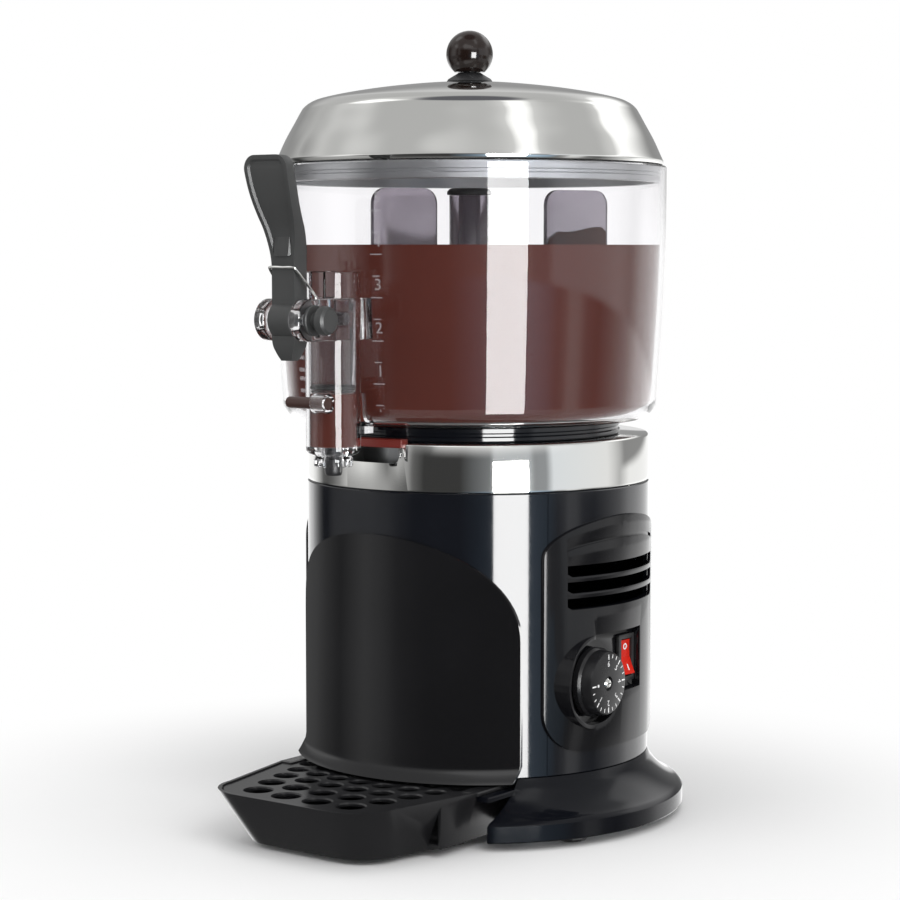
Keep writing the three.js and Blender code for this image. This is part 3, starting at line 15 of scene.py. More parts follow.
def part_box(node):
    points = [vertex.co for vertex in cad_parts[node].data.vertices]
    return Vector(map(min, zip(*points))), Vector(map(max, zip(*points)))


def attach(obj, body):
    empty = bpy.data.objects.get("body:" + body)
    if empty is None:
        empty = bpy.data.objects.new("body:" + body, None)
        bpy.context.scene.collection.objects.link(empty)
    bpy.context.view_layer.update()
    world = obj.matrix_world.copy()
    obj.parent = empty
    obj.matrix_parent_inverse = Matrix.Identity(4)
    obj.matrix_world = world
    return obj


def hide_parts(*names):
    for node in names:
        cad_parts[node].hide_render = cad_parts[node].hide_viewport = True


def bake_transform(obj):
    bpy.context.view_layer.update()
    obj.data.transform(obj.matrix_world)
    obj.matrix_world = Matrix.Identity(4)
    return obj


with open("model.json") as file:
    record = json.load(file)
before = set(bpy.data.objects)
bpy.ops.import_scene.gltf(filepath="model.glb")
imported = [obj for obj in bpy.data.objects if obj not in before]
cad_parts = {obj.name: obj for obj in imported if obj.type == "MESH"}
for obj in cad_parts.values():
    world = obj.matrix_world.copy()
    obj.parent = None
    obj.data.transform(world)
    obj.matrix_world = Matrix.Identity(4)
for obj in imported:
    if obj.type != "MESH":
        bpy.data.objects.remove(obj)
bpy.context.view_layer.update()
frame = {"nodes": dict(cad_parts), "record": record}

# %% [markdown]
# Three upright axes carry nearly everything: that of the base, that of the bowl a little ahead of it,
# and that of the tap. They could be typed in as numbers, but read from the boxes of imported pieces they
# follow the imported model.

# %% Units and axes
MM = 0.001


def box_mm(node):
    low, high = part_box(node)
    return [value / MM for value in low], [value / MM for value in high]


def middle_y(node):
    low, high = box_mm(node)
    return (low[1] + high[1]) / 2


BASE_Y = middle_y("housing_shell")
BOWL_Y = middle_y("shaft_seal")
TAP_Y = middle_y("outlet_crown")
PIVOT_Y = middle_y("pivot_pin")
print("axes along Y in mm:", round(BASE_Y, 3), round(BOWL_Y, 3), round(TAP_Y, 3), round(PIVOT_Y, 3))

# %% [markdown]
# The camera comes first, because it decides what is worth modelling. A long lens from about one and a half
# metres keeps the ellipses of bowl and ring as flat as they look on a product picture.
# A short lens near by would show the same machine with steeper ellipses.

# %% Camera
CAMERA_TURN = 36.0
CAMERA_DISTANCE = 1450
CAMERA_HEIGHT = 336
CAMERA_TILT = 4.74
CAMERA_ASIDE = 0.67
CAMERA_LENS = 96.6
SENSOR_WIDTH = 36
NEAREST_SEEN = 50
camera_data = bpy.data.cameras.new("portrait_camera")
camera = bpy.data.objects.new("portrait_camera", camera_data)
bpy.context.scene.collection.objects.link(camera)
turn = math.radians(CAMERA_TURN)
camera.location = (
    CAMERA_DISTANCE * math.sin(turn) * MM,
    (BASE_Y - CAMERA_DISTANCE * math.cos(turn)) * MM,
    CAMERA_HEIGHT * MM,
)
camera.rotation_euler = (math.radians(90 - CAMERA_TILT), 0, math.radians(CAMERA_TURN + CAMERA_ASIDE))
camera_data.lens = CAMERA_LENS
camera_data.sensor_width = SENSOR_WIDTH
camera_data.clip_start = NEAREST_SEEN * MM
bpy.context.scene.camera = camera
bpy.context.scene.view_settings.view_transform = "Standard"
print("camera at", [round(value, 3) for value in camera.location])

# %% [markdown]
# Finishes are written as sums. A small class holds one output socket, and adding or multiplying it adds a
# Math node. Every other node comes from one method, which takes its type, its settings and the values or
# links of its inputs.
# The nodes could be placed by hand in the shader editor, but a formula is shorter and shows at a glance
# what depends on what.

# %% Shader helpers


class Wire:
    """An output socket that can be added and multiplied."""

    def __init__(self, nodes, socket):
        self.nodes = nodes
        self.socket = socket

    def combined(self, operation, other):
        return self.nodes.node("ShaderNodeMath", {"operation": operation}, {0: self, 1: other})

    def __add__(self, other):
        return self.combined("ADD", other)

    __radd__ = __add__

    def __mul__(self, other):
        return self.combined("MULTIPLY", other)

    __rmul__ = __mul__


class Nodes:
    """A node tree under construction. Colours are given as three numbers."""

    def __init__(self, tree, output):
        self.tree = tree
        tree.nodes.clear()
        self.output = tree.nodes.new(output)

    def node(self, kind, settings=None, inputs=None, output=0):
        made = self.tree.nodes.new(kind)
        for key, value in (settings or {}).items():
            setattr(made, key, value)
        for key, value in (inputs or {}).items():
            socket = made.inputs[key]
            if isinstance(value, Wire):
                self.tree.links.new(value.socket, socket)
            else:
                socket.default_value = (*value, 1) if socket.type == "RGBA" else value
        return Wire(self, made.outputs[output])

    def blend(self, share, first, second):
        return self.node("ShaderNodeMix", {"data_type": "RGBA"}, {0: share, 6: first, 7: second}, 2)

    def done(self, shader):
        self.tree.links.new(shader.socket, self.output.inputs["Surface"])


# %% [markdown]
# A finish is such a tree inside a material. All its patterns are read at the place on the object, in metres,
# so they keep their real size. Unwrapped coordinates could carry them too, but these pieces need no seams.

# %% Finish of a piece
finishes = {}


class Finish(Nodes):
    """A material under construction, kept by its name in the dictionary of finishes."""

    def __init__(self, name):
        finishes[name] = bpy.data.materials.new(name)
        finishes[name].use_nodes = True
        super().__init__(finishes[name].node_tree, "ShaderNodeOutputMaterial")
        self.place = self.node("ShaderNodeTexCoord", output="Object")

    def noise(self, scale, detail=2.0, stretch=(1, 1, 1)):
        where = self.node("ShaderNodeMapping", None, {"Vector": self.place, "Scale": stretch})
        return self.node("ShaderNodeTexNoise", None, {"Vector": where, "Scale": scale, "Detail": detail}, "Fac")

    def bump(self, height, strength, distance, normal=None):
        inputs = {"Height": height, "Strength": strength, "Distance": distance}
        if normal is not None:
            inputs["Normal"] = normal
        return self.node("ShaderNodeBump", None, inputs)

    def surface(self, **inputs):
        named = {key.replace("_", " ").title().replace("Ior", "IOR"): value for key, value in inputs.items()}
        return self.node("ShaderNodeBsdfPrincipled", None, named)


# %% [markdown]
# ## Finishes
# A finish is never one colour. Gloss plastic has a faint orange peel and a film of handling marks,
# polished steel keeps hair-thin polishing lines, and rubber and matt plastic have a fine grain.
# Each finish below mixes such noises into colour, roughness and bump at their real scale.
# One flat colour would do for a sketch, and it is this slight unevenness that a close look believes.
# All moulded pieces share one build, so a table of their values is enough.

# %% Plastics and rubbers


def moulded(name, dark, light, roughness, spread, grain_scale, grain_height, specular):
    finish = Finish(name)
    cloud = finish.noise(22, 3)
    smudge = finish.noise(70, 4)
    grain = finish.noise(grain_scale, 3)
    finish.done(finish.surface(
        base_color=finish.blend(cloud, dark, light),
        roughness=smudge * spread + (roughness - spread / 2),
        specular_ior_level=specular,
        normal=finish.bump(grain, 0.35, grain_height * MM),
    ))


# Name, darkest and lightest colour, roughness and its spread, scale and height of the grain, specular level.
for row in [
    ("black_gloss", (0.0035, 0.004, 0.006), (0.006, 0.007, 0.010), 0.07, 0.05, 260, 0.01, 0.5),
    ("panel_gloss", (0.004, 0.004, 0.005), (0.007, 0.007, 0.008), 0.10, 0.05, 300, 0.01, 0.3),
    ("black_matt", (0.012, 0.012, 0.013), (0.019, 0.019, 0.020), 0.42, 0.12, 1800, 0.04, 0.5),
    ("foot_gloss", (0.003, 0.003, 0.005), (0.005, 0.006, 0.008), 0.08, 0.05, 260, 0.01, 0.22),
    ("dial_black", (0.007, 0.007, 0.008), (0.012, 0.012, 0.013), 0.28, 0.08, 1500, 0.03, 0.32),
    ("charcoal_plastic", (0.030, 0.031, 0.031), (0.044, 0.045, 0.045), 0.46, 0.10, 1500, 0.04, 0.5),
    ("tray_satin", (0.008, 0.008, 0.009), (0.013, 0.013, 0.014), 0.20, 0.08, 900, 0.02, 0.5),
    ("red_plastic", (0.56, 0.010, 0.002), (0.68, 0.016, 0.004), 0.30, 0.08, 600, 0.02, 0.15),
    ("brown_plastic", (0.030, 0.010, 0.007), (0.050, 0.018, 0.012), 0.32, 0.10, 900, 0.03, 0.5),
    ("ivory_plastic", (0.60, 0.56, 0.44), (0.68, 0.64, 0.52), 0.45, 0.10, 800, 0.03, 0.5),
    ("black_rubber", (0.006, 0.006, 0.006), (0.012, 0.012, 0.012), 0.62, 0.15, 1400, 0.05, 0.5),
    ("red_rubber", (0.13, 0.010, 0.006), (0.19, 0.018, 0.010), 0.38, 0.12, 900, 0.03, 0.5),
    ("label_white", (0.82, 0.82, 0.82), (0.92, 0.92, 0.92), 0.4, 0.1, 1200, 0.01, 0.5),
    ("ball_brown", (0.008, 0.004, 0.003), (0.016, 0.009, 0.007), 0.09, 0.05, 300, 0.01, 0.5),
]:
    moulded(*row)
print("moulded finishes:", len(finishes))

# %% [markdown]
# Polished steel mirrors the room, and only hair-thin lines round the piece break the mirror. Anisotropic
# gloss could show them too, but a noise that is stretched along the lines works for roughness and bump alike.

# %% Metals


def metal(name, dark, light, roughness, spread, stretch, line_height):
    finish = Finish(name)
    lines = finish.noise(180, 4, stretch)
    cloud = finish.noise(14, 2)
    finish.done(finish.surface(
        base_color=finish.blend(cloud, dark, light),
        metallic=1.0,
        roughness=lines * spread + roughness,
        normal=finish.bump(lines, 0.25, line_height * MM),
    ))


for row in [
    ("polished_steel", (0.70, 0.70, 0.68), (0.77, 0.77, 0.75), 0.025, 0.03, (1, 1, 22), 0.002),
    ("dull_steel", (0.40, 0.41, 0.42), (0.50, 0.51, 0.52), 0.26, 0.14, (1, 1, 14), 0.01),
    ("cast_metal", (0.26, 0.27, 0.28), (0.38, 0.39, 0.40), 0.42, 0.2, (4, 4, 4), 0.08),
]:
    metal(*row)
print("finishes with the metals:", len(finishes))

# %% [markdown]
# Clear plastic is a full refraction. In a path tracer its shadow would be black, so for shadow rays and
# soft bounced light it turns into a plain see-through film, and the drink behind it stays lit.
# The stirrer's smoked plastic is only partly clear, and the level marks have a thin frosted film.

# %% Clear plastic


def clear(name, tint, ior, film_tint):
    finish = Finish(name)
    flow = finish.noise(28, 2, (1, 1, 0.3))
    film = finish.noise(90, 3)
    plastic = finish.surface(
        base_color=finish.blend(flow, tint, tuple(value * 0.97 for value in tint)),
        roughness=film * 0.02,
        ior=ior,
        transmission_weight=1.0,
        normal=finish.bump(flow, 0.08, 0.0003),
    )
    shadow = finish.node("ShaderNodeLightPath", output="Is Shadow Ray")
    soft = finish.node("ShaderNodeLightPath", output="Is Diffuse Ray")
    share = shadow.combined("MAXIMUM", soft)
    see_through = finish.node("ShaderNodeBsdfTransparent", None, {"Color": film_tint})
    finish.done(finish.node("ShaderNodeMixShader", None, {0: share, 1: plastic, 2: see_through}))


clear("clear_plastic", (0.97, 0.965, 0.975), 1.42, (0.95, 0.94, 0.95))
clear("grey_clear_plastic", (0.80, 0.79, 0.80), 1.46, (0.88, 0.87, 0.88))

# %% Smoked plastic and frosted marks
smoke = Finish("smoked_plastic")
smoke_cloud = smoke.noise(30, 3)
smoke.done(smoke.surface(
    base_color=smoke.blend(smoke_cloud, (0.40, 0.36, 0.42), (0.50, 0.46, 0.52)),
    roughness=smoke_cloud * 0.1 + 0.1,
    ior=1.5,
    transmission_weight=0.72,
    normal=smoke.bump(smoke.noise(400), 0.2, 0.00002),
))

frost = Finish("frosted_mark")
frost.done(frost.surface(
    base_color=frost.blend(frost.noise(300), (0.62, 0.61, 0.63), (0.72, 0.71, 0.73)),
    roughness=frost.noise(90) * 0.2 + 0.4,
    alpha=frost.noise(500) * 0.1 + 0.14,
))
print("finishes with the clear ones:", len(finishes))

# %% [markdown]
# The drink is thick and opaque. Light that scatters under the surface could be rendered, but a soft brown
# with slow clouds in it looks nearly the same through the bowl, and it is quicker.

# %% Finish of the drink
drink = Finish("hot_chocolate")
drink_cloud = drink.noise(16, 4, (1, 1, 0.35))
drink.done(drink.surface(
    base_color=drink.blend(drink_cloud, (0.082, 0.021, 0.015), (0.098, 0.027, 0.019)),
    roughness=drink.noise(60, 2) * 0.1 + 0.42,
    specular_ior_level=0.04,
    normal=drink.bump(drink.noise(40, 3), 0.15, 0.0006),
))
print("finishes:", len(finishes))

# %% [markdown]
# ## Modelling by hand, in code
# Almost every piece is either turned about an axis or pushed from an outline. A turned piece starts from
# one vertex that is pulled along its profile and then spun. A pushed piece starts from an outline that is
# filled and extruded. Booleans join the forms of one moulding, and a bevel softens its edges.
# Ready-made cylinders and cubes could be scaled into place, but a drawn profile keeps every step, lip and
# groove of a piece in one short list.

# %% First steps of every form


def let_go():
    bpy.ops.object.select_all(action="DESELECT")


def take(piece):
    let_go()
    piece.select_set(True)
    bpy.context.view_layer.objects.active = piece


def metres(point):
    return tuple(value * MM for value in point)


def start_vertex(name, point):
    """One vertex at a point: a small plane whose corners are merged, then moved."""
    let_go()
    bpy.ops.mesh.primitive_plane_add(size=MM)
    piece = bpy.context.object
    piece.name = piece.data.name = name
    bpy.ops.object.mode_set(mode="EDIT")
    bpy.ops.mesh.merge(type="CENTER")
    bpy.ops.transform.translate(value=metres(point))
    return piece


def pull_along(points):
    for here, there in zip(points, points[1:]):
        step = metres([b - a for a, b in zip(here, there)])
        bpy.ops.mesh.extrude_vertices_move(TRANSFORM_OT_translate={"value": step})


def tidy_mesh():
    bpy.ops.mesh.select_all(action="SELECT")
    bpy.ops.mesh.remove_doubles(threshold=0.000002)
    bpy.ops.mesh.normals_make_consistent(inside=False)
    bpy.ops.object.mode_set(mode="OBJECT")


# %% [markdown]
# Three ways to make a form: turned about an axis, pushed from an outline, and lofted from ring to ring.
# A loft could make them all, but a spin closes a round form by itself and a push needs only one outline.

# %% Turned forms


def turned(name, profile, steps=144, y=0.0, x=0.0, z=0.0, across=None):
    """Spins [radius, height] points about an upright axis, or about the one along X through a [y, z] place."""
    if across:
        y, z = across
        points = [(height, y, z + radius) for radius, height in profile]
        centre, axis = (0, y, z), (1, 0, 0)
    else:
        points = [(x + radius, y, z + height) for radius, height in profile]
        centre, axis = (x, y, 0), (0, 0, 1)
    if profile[0][0] > 0 or profile[-1][0] > 0:
        points.append(points[0])
    piece = start_vertex(name, points[0])
    pull_along(points)
    bpy.ops.mesh.select_all(action="SELECT")
    bpy.ops.mesh.spin(steps=steps, angle=2 * math.pi, center=metres(centre), axis=axis)
    tidy_mesh()
    return piece


def rod(name, radius, low, high, steps, **where):
    return turned(name, [(0, low), (radius, low), (radius, high), (0, high)], steps, **where)


def upright(y, degrees):
    """Turns a form drawn round the origin and sets it on the upright axis at y."""
    return Matrix.Translation((0, y * MM, 0)) @ Matrix.Rotation(math.radians(degrees), 4, "Z")


# %% Pushed and lofted forms


def pushed(name, outline, low, high, along="z"):
    """Fills an outline and pushes it along Z, along X, or towards the front."""
    spread = {
        "z": lambda u, v, w: (u, v, w),
        "x": lambda u, v, w: (w, u, v),
        "front": lambda u, v, w: (u, -w, v),
    }[along]
    points = [spread(u, v, low) for u, v in outline]
    piece = start_vertex(name, points[0])
    pull_along(points)
    bpy.ops.mesh.select_all(action="SELECT")
    bpy.ops.mesh.edge_face_add()
    bpy.ops.mesh.extrude_region_move(TRANSFORM_OT_translate={"value": metres(spread(0, 0, high - low))})
    tidy_mesh()
    return piece


def lofted(name, rings):
    """Fills a first ring of points and extrudes it from ring to ring."""
    piece = start_vertex(name, rings[0][0])
    pull_along(rings[0])
    bpy.ops.mesh.select_all(action="SELECT")
    bpy.ops.mesh.edge_face_add()
    for below, ring in zip(rings, rings[1:]):
        bpy.ops.mesh.extrude_region_move()
        mesh = bmesh.from_edit_mesh(piece.data)
        places = [Vector(metres(point)) for point in below]
        for vertex in [v for v in mesh.verts if v.select]:
            nearest = min(range(len(places)), key=lambda index: (places[index] - vertex.co).length)
            vertex.co = metres(ring[nearest])
        bmesh.update_edit_mesh(piece.data)
    tidy_mesh()
    return piece


def block(name, low, high):
    outline = [(low[0], low[1]), (high[0], low[1]), (high[0], high[1]), (low[0], high[1])]
    return pushed(name, outline, low[2], high[2])


def slab(name, half, y, z):
    """A block that reaches equally far to both sides in X."""
    return block(name, (-half, y[0], z[0]), (half, y[1], z[1]))


# %% [markdown]
# Three booleans, two ways to clean and round the result, and the last step that every piece goes through.
# Booleans have an exact solver too, but on closed forms the manifold one is quick and always gives the
# same result.

# %% Joining


def combine(piece, tools, operation):
    for tool in tools:
        take(piece)
        join = piece.modifiers.new("join", "BOOLEAN")
        join.operation = operation
        join.object = tool
        join.solver = "MANIFOLD"
        bpy.ops.object.modifier_apply(modifier=join.name)
        bpy.data.objects.remove(tool)
    return piece


def add(piece, *tools):
    return combine(piece, tools, "UNION")


def cut(piece, *tools):
    return combine(piece, tools, "DIFFERENCE")


def keep_inside(piece, tool):
    return combine(piece, [tool], "INTERSECT")


# %% Rounding and dressing


def flatten(piece):
    """Joins the triangles that a boolean leaves on flat faces, so that bevels and shading run clean."""
    take(piece)
    bpy.ops.object.mode_set(mode="EDIT")
    bpy.ops.mesh.select_all(action="SELECT")
    bpy.ops.mesh.dissolve_limited(angle_limit=math.radians(0.3))
    bpy.ops.object.mode_set(mode="OBJECT")
    return piece


def soften(piece, width, segments, angle):
    take(piece)
    round_off = piece.modifiers.new("round", "BEVEL")
    round_off.width = width * MM
    round_off.segments = segments
    round_off.limit_method = "ANGLE"
    round_off.angle_limit = math.radians(angle)
    bpy.ops.object.modifier_apply(modifier=round_off.name)
    return piece


def dress(piece, body, slot, node=None, finish=None, smooth=35):
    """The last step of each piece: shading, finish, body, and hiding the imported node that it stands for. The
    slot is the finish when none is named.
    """
    take(piece)
    bpy.ops.object.shade_smooth_by_angle(angle=math.radians(smooth))
    piece.data.materials.clear()
    piece.data.materials.append(finishes[finish or slot])
    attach(piece, body)
    if node:
        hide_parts(node)
    print(f"{piece.name}: {len(piece.data.polygons)} faces on {body}")


# %% [markdown]
# Outlines and profiles are lists of points in millimetres, put together from arcs and smooth runs.
# Curve objects could hold them as well, but lists are joined with a plus sign and shifted in one line.

# %% Outlines


def arc(centre_u, centre_v, radius, start, end, steps):
    points = []
    for step in range(steps + 1):
        angle = math.radians(start + (end - start) * step / steps)
        points.append((centre_u + radius * math.cos(angle), centre_v + radius * math.sin(angle)))
    return points


def rounded_box(half_u, half_v, radius, centre_u=0.0, centre_v=0.0, steps=3):
    right, top = centre_u + half_u - radius, centre_v + half_v - radius
    left, bottom = centre_u - half_u + radius, centre_v - half_v + radius
    return (
        arc(right, bottom, radius, -90, 0, steps) + arc(right, top, radius, 0, 90, steps)
        + arc(left, top, radius, 90, 180, steps) + arc(left, bottom, radius, 180, 270, steps)
    )


def circle(radius, centre_u=0.0, centre_v=0.0, steps=48):
    return arc(centre_u, centre_v, radius, 0, 360, steps)[:-1]


def between(table, steps):
    """A smooth run of points through a short table, by cubic pieces."""
    points = []
    for index in range(len(table) - 1):
        before, here = table[max(index - 1, 0)], table[index]
        there, after = table[index + 1], table[min(index + 2, len(table) - 1)]
        for step in range(steps):
            t = step / steps
            points.append(tuple(
                b + ((c - a) * t + (2 * a - 5 * b + 4 * c - d) * t ** 2 + (3 * b - a - 3 * c + d) * t ** 3) / 2
                for a, b, c, d in zip(before, here, there, after)
            ))
    points.append(tuple(table[-1]))
    return points


def arched(radius, half_angle, level, height, steps):
    """The arched top of a panel on a round of that radius, as it looks from straight in front."""
    points = []
    for step in range(steps + 1):
        rise = math.pi * step / steps
        points.append((radius * math.sin(half_angle * math.cos(rise)), level + height * math.sin(rise)))
    return points


# %% [markdown]
# ## The base
# The foot is one black moulding that flares out under the housing, with a bay at the front where the drip
# tray slides in. Its flare is a stretched superellipse: nearly flat at the lip and upright at the housing.
# A few arcs could come close, but from one formula come the outer face, the inner face and the form that
# trims the walls of the bay.

# %% Foot
FOOT_LIP = 124
FOOT_TOP = 36.7
HOUSING = 102.5
BAY_HALF = 77
BAY_REAR = BASE_Y - 55
FLARE_POWER = 1.4
FLARE_STEPS = 14


def flare(inset):
    points = []
    for step in range(FLARE_STEPS + 1):
        share = step / FLARE_STEPS
        rise = 1 - (1 - share ** FLARE_POWER) ** (1 / FLARE_POWER)
        points.append((FOOT_LIP - inset - (FOOT_LIP - HOUSING) * share, 16 - inset + (FOOT_TOP - 16) * rise))
    return points


foot = turned("foot_flare", [
    (121, 5), (123.4, 5), (FOOT_LIP, 5.8), (FOOT_LIP, 14.6), *flare(0)[1:], (94.5, FOOT_TOP),
    (94.5, FOOT_TOP - 3), *reversed(flare(3)),
], y=BASE_Y)
filled = turned("bay_form", [(0, 5), (123.6, 5), (123.6, 15), *flare(0.4)[1:], (0, FOOT_TOP - 0.4)], y=BASE_Y)
bay_walls = keep_inside(slab("bay_walls", BAY_HALF + 2.4, (BASE_Y - 140, BAY_REAR + 2.4), (5.2, 36)), filled)
add(foot, bay_walls)
cut(foot, slab("bay", BAY_HALF, (BASE_Y - 140, BAY_REAR), (-2, 60)))
for side in (-1, 1):
    rail_low, rail_high = sorted((side * (BAY_HALF + 0.6), side * (BAY_HALF - 7.5)))
    add(foot, block("rail", (rail_low, BASE_Y - 96.8, 28.3), (rail_high, BAY_REAR + 0.6, 31.3)))
dress(soften(foot, 0.5, 2, 50), "base", "black_gloss", "foot_skirt", finish="foot_gloss")

# %% [markdown]
# The housing is a plain upright drum. What makes it real is the narrow seam on each side of the panels,
# the soft edge under the steel ring, and the dark windows that the vents look into.
# The seams could be painted on as dark lines, but grooves that are cut catch the light on their edges.

# %% Housing
HOUSING_TOP = 199.5
DIAL = DIAL_Y, DIAL_Z = (BASE_Y - 25, 89)
SWITCH = SWITCH_Y, SWITCH_Z = (BASE_Y + 11.8, 98)
SEAM_ANGLES = (58.6, -58.6, 121.4, -121.4)
housing = turned("housing_drum", [
    (100, 37), (HOUSING - 0.4, 37), (HOUSING, 37.5), (HOUSING, HOUSING_TOP - 0.8), (HOUSING - 0.8, HOUSING_TOP),
    (94.5, HOUSING_TOP), (94.5, HOUSING_TOP - 2.5), (100, HOUSING_TOP - 2.5), (100, 175.7), (94, 175.7),
    (94, 172.2), (100, 166),
], 192, y=BASE_Y)
cut(
    housing,
    slab("window", 110, (BASE_Y - 44, BASE_Y + 44), (131.9, 157.3)),
    pushed("dial_window", circle(27.1, *DIAL, 72), 60, 110, "x"),
    block("switch_window", (60, DIAL_Y, 78.2), (110, BASE_Y + 23.3, 118.8)),
    pushed("gland_hole", circle(9.3, 0, 56), -115 - BASE_Y, -60 - BASE_Y, "front"),
)
for angle in SEAM_ANGLES:
    groove = slab("groove", 0.22, (-103.5, -102.1), (36, 201))
    groove.data.transform(upright(BASE_Y, angle))
    cut(housing, groove)
dress(housing, "base", "black_gloss", "housing_shell")

# %% [markdown]
# The front panel is a band of the same round, cut to a low arch, with an apron that flares over the tray.
# It is a flatter moulding than the drum behind it, so its gloss looks further to the front: its shading
# normal is drawn towards the front, which keeps the bright strip of the studio off its right half.
# A flat plate could be bent round the drum, but a turned band that is trimmed to the arch has an even wall.

# %% Front panel
flat_gloss = Finish("front_panel_gloss")
flat_normal = flat_gloss.node("ShaderNodeNewGeometry", output="Normal")
drawn = flat_gloss.node(
    "ShaderNodeVectorMath", {"operation": "MULTIPLY"}, {0: flat_normal, 1: (0.36, 0.36, 1.0)},
)
drawn = flat_gloss.node("ShaderNodeVectorMath", {"operation": "ADD"}, {0: drawn, 1: (0.19, -0.61, 0.0)})
drawn = flat_gloss.node("ShaderNodeVectorMath", {"operation": "NORMALIZE"}, {0: drawn})
flat_gloss.done(flat_gloss.surface(
    base_color=flat_gloss.blend(flat_gloss.noise(20, 3), (0.0045, 0.0045, 0.005), (0.008, 0.008, 0.009)),
    roughness=flat_gloss.noise(9, 2) * 0.12 + 0.03,
    normal=flat_gloss.bump(flat_gloss.noise(240, 2), 0.3, 0.00001, drawn),
))

PANEL_IN = HOUSING + 0.3
PANEL_OUT = PANEL_IN + 1.4
APRON = 109.2
PANEL_HALF_ANGLE = math.radians(49.3)
panel = turned("front_panel_arch", [
    (PANEL_IN + 5.0, 35.2), (APRON, 35.2), (APRON - 1.5, 37.2), (PANEL_OUT + 1.8, 39.9),
    (PANEL_OUT + 0.5, 42.2), (PANEL_OUT, 45.2), (PANEL_OUT, 180), (PANEL_IN, 180), (PANEL_IN, 44),
    (PANEL_IN + 1.8, 40),
], 192, y=BASE_Y)
edge = PANEL_OUT * math.sin(PANEL_HALF_ANGLE)
arch = [(-edge, 30), (edge, 30)] + arched(PANEL_OUT, PANEL_HALF_ANGLE, 115, 59.7, 48)
keep_inside(panel, pushed("arch_form", arch, -BASE_Y, 115 - BASE_Y, "front"))
dress(soften(panel, 0.5, 3, 50), "base", "black_gloss", "front_panel", finish="front_panel_gloss")

# %% [markdown]
# A side panel is a thicker band with three slanted vents and one shallow groove above them. The right one
# also carries the controls: a round bezel for the dial that runs into a square pocket for the switch.
# The left one could be mirrored, but that turns its faces inwards. It is made by the same function and
# given half a turn.

# %% Side panel
SIDE_OUT = PANEL_IN + 1.8
SIDE_HALF_ANGLE = math.radians(33)
SIDE_HALF = SIDE_OUT * math.sin(SIDE_HALF_ANGLE)
SIDE_CORNER = 23
VENT_HALF = 44


def side_outline():
    points = [(-SIDE_HALF, 162)]
    points += arc(-SIDE_HALF + SIDE_CORNER, 50 + SIDE_CORNER, SIDE_CORNER, 180, 270, 12)
    points += arc(SIDE_HALF - SIDE_CORNER, 50 + SIDE_CORNER, SIDE_CORNER, 270, 360, 12)
    points += arched(SIDE_OUT, SIDE_HALF_ANGLE, 162, 21.6, 32)
    return [(u + BASE_Y, v) for u, v in points[:-1]]


def vent_outline(level):
    return [(u + BASE_Y, v) for u, v in [
        (-VENT_HALF + 3, level - 3.3), (VENT_HALF - 3, level - 3.3), (VENT_HALF, level - 1.5),
        (VENT_HALF, level + 3.3), (-VENT_HALF, level + 3.3), (-VENT_HALF, level - 1.5),
    ]]


def box_at_switch(rear, low, high):
    return [(DIAL_Y, low), (BASE_Y + rear, low), (BASE_Y + rear, high), (DIAL_Y, high)]


def side_panel(name):
    band = turned(name, [(PANEL_IN, 45), (SIDE_OUT, 45), (SIDE_OUT, 190), (PANEL_IN, 190)], 192, y=BASE_Y)
    keep_inside(band, pushed("side_form", side_outline(), 0, 112, "x"))
    for row in range(3):
        cut(band, pushed("vent", vent_outline(154 - 9.4 * row), 60, 112, "x"))
    turns = [math.pi * (k / 24 - 0.5) * 0.999 for k in range(25)]
    crest = [(BASE_Y + VENT_HALF * math.sin(t), 165.5 + 5 * math.cos(t) ** 1.5) for t in turns]
    groove = pushed("groove", [(u, v + 2.0) for u, v in crest] + crest[::-1], 60, 112, "x")
    cut(groove, rod("groove_floor", SIDE_OUT - 0.9, 100, 200, 192, y=BASE_Y))
    return cut(band, groove)


# %% Right and left panel
right_panel = side_panel("right_panel_arch")
bezel = pushed("bezel", circle(26.8, *DIAL, 72), 78, 101.6, "x")
boss = pushed("boss", box_at_switch(23, 78.5, 118.5), 78, 112, "x")
keep_inside(boss, rod("boss_form", SIDE_OUT - 0.15, 60, 130, 192, y=BASE_Y))
add(right_panel, bezel, boss)
pocket = pushed("round_pocket", circle(24.6, *DIAL, 72), 97, 112, "x")
add(pocket, pushed("square_pocket", box_at_switch(20.8, 80.7, 116.3), 97, 112, "x"))
cut(
    right_panel, pocket,
    pushed("switch_hole", rounded_box(6.9, 12.3, 0.5, *SWITCH, 2), 70, 112, "x"),
    pushed("dial_hole", circle(5.8, *DIAL, 24), 70, 112, "x"),
)
dress(soften(right_panel, 0.5, 3, 50), "base", "black_gloss", "right_side_panel", finish="panel_gloss")

left_panel = side_panel("left_panel_arch")
left_panel.data.transform(upright(BASE_Y, 180) @ Matrix.Translation((0, -BASE_Y * MM, 0)))
dress(soften(left_panel, 0.5, 3, 50), "base", "black_gloss", "left_side_panel", finish="panel_gloss")

# %% [markdown]
# ## The steel ring
# A polished band with a deck on top. Its front edge is cut away below the tap, where the bowl's red gasket
# looks out. Rounding its top edge is what gives the thin bright line above the band.
# A bevel could round that edge, but a few more points in the profile do it exactly.

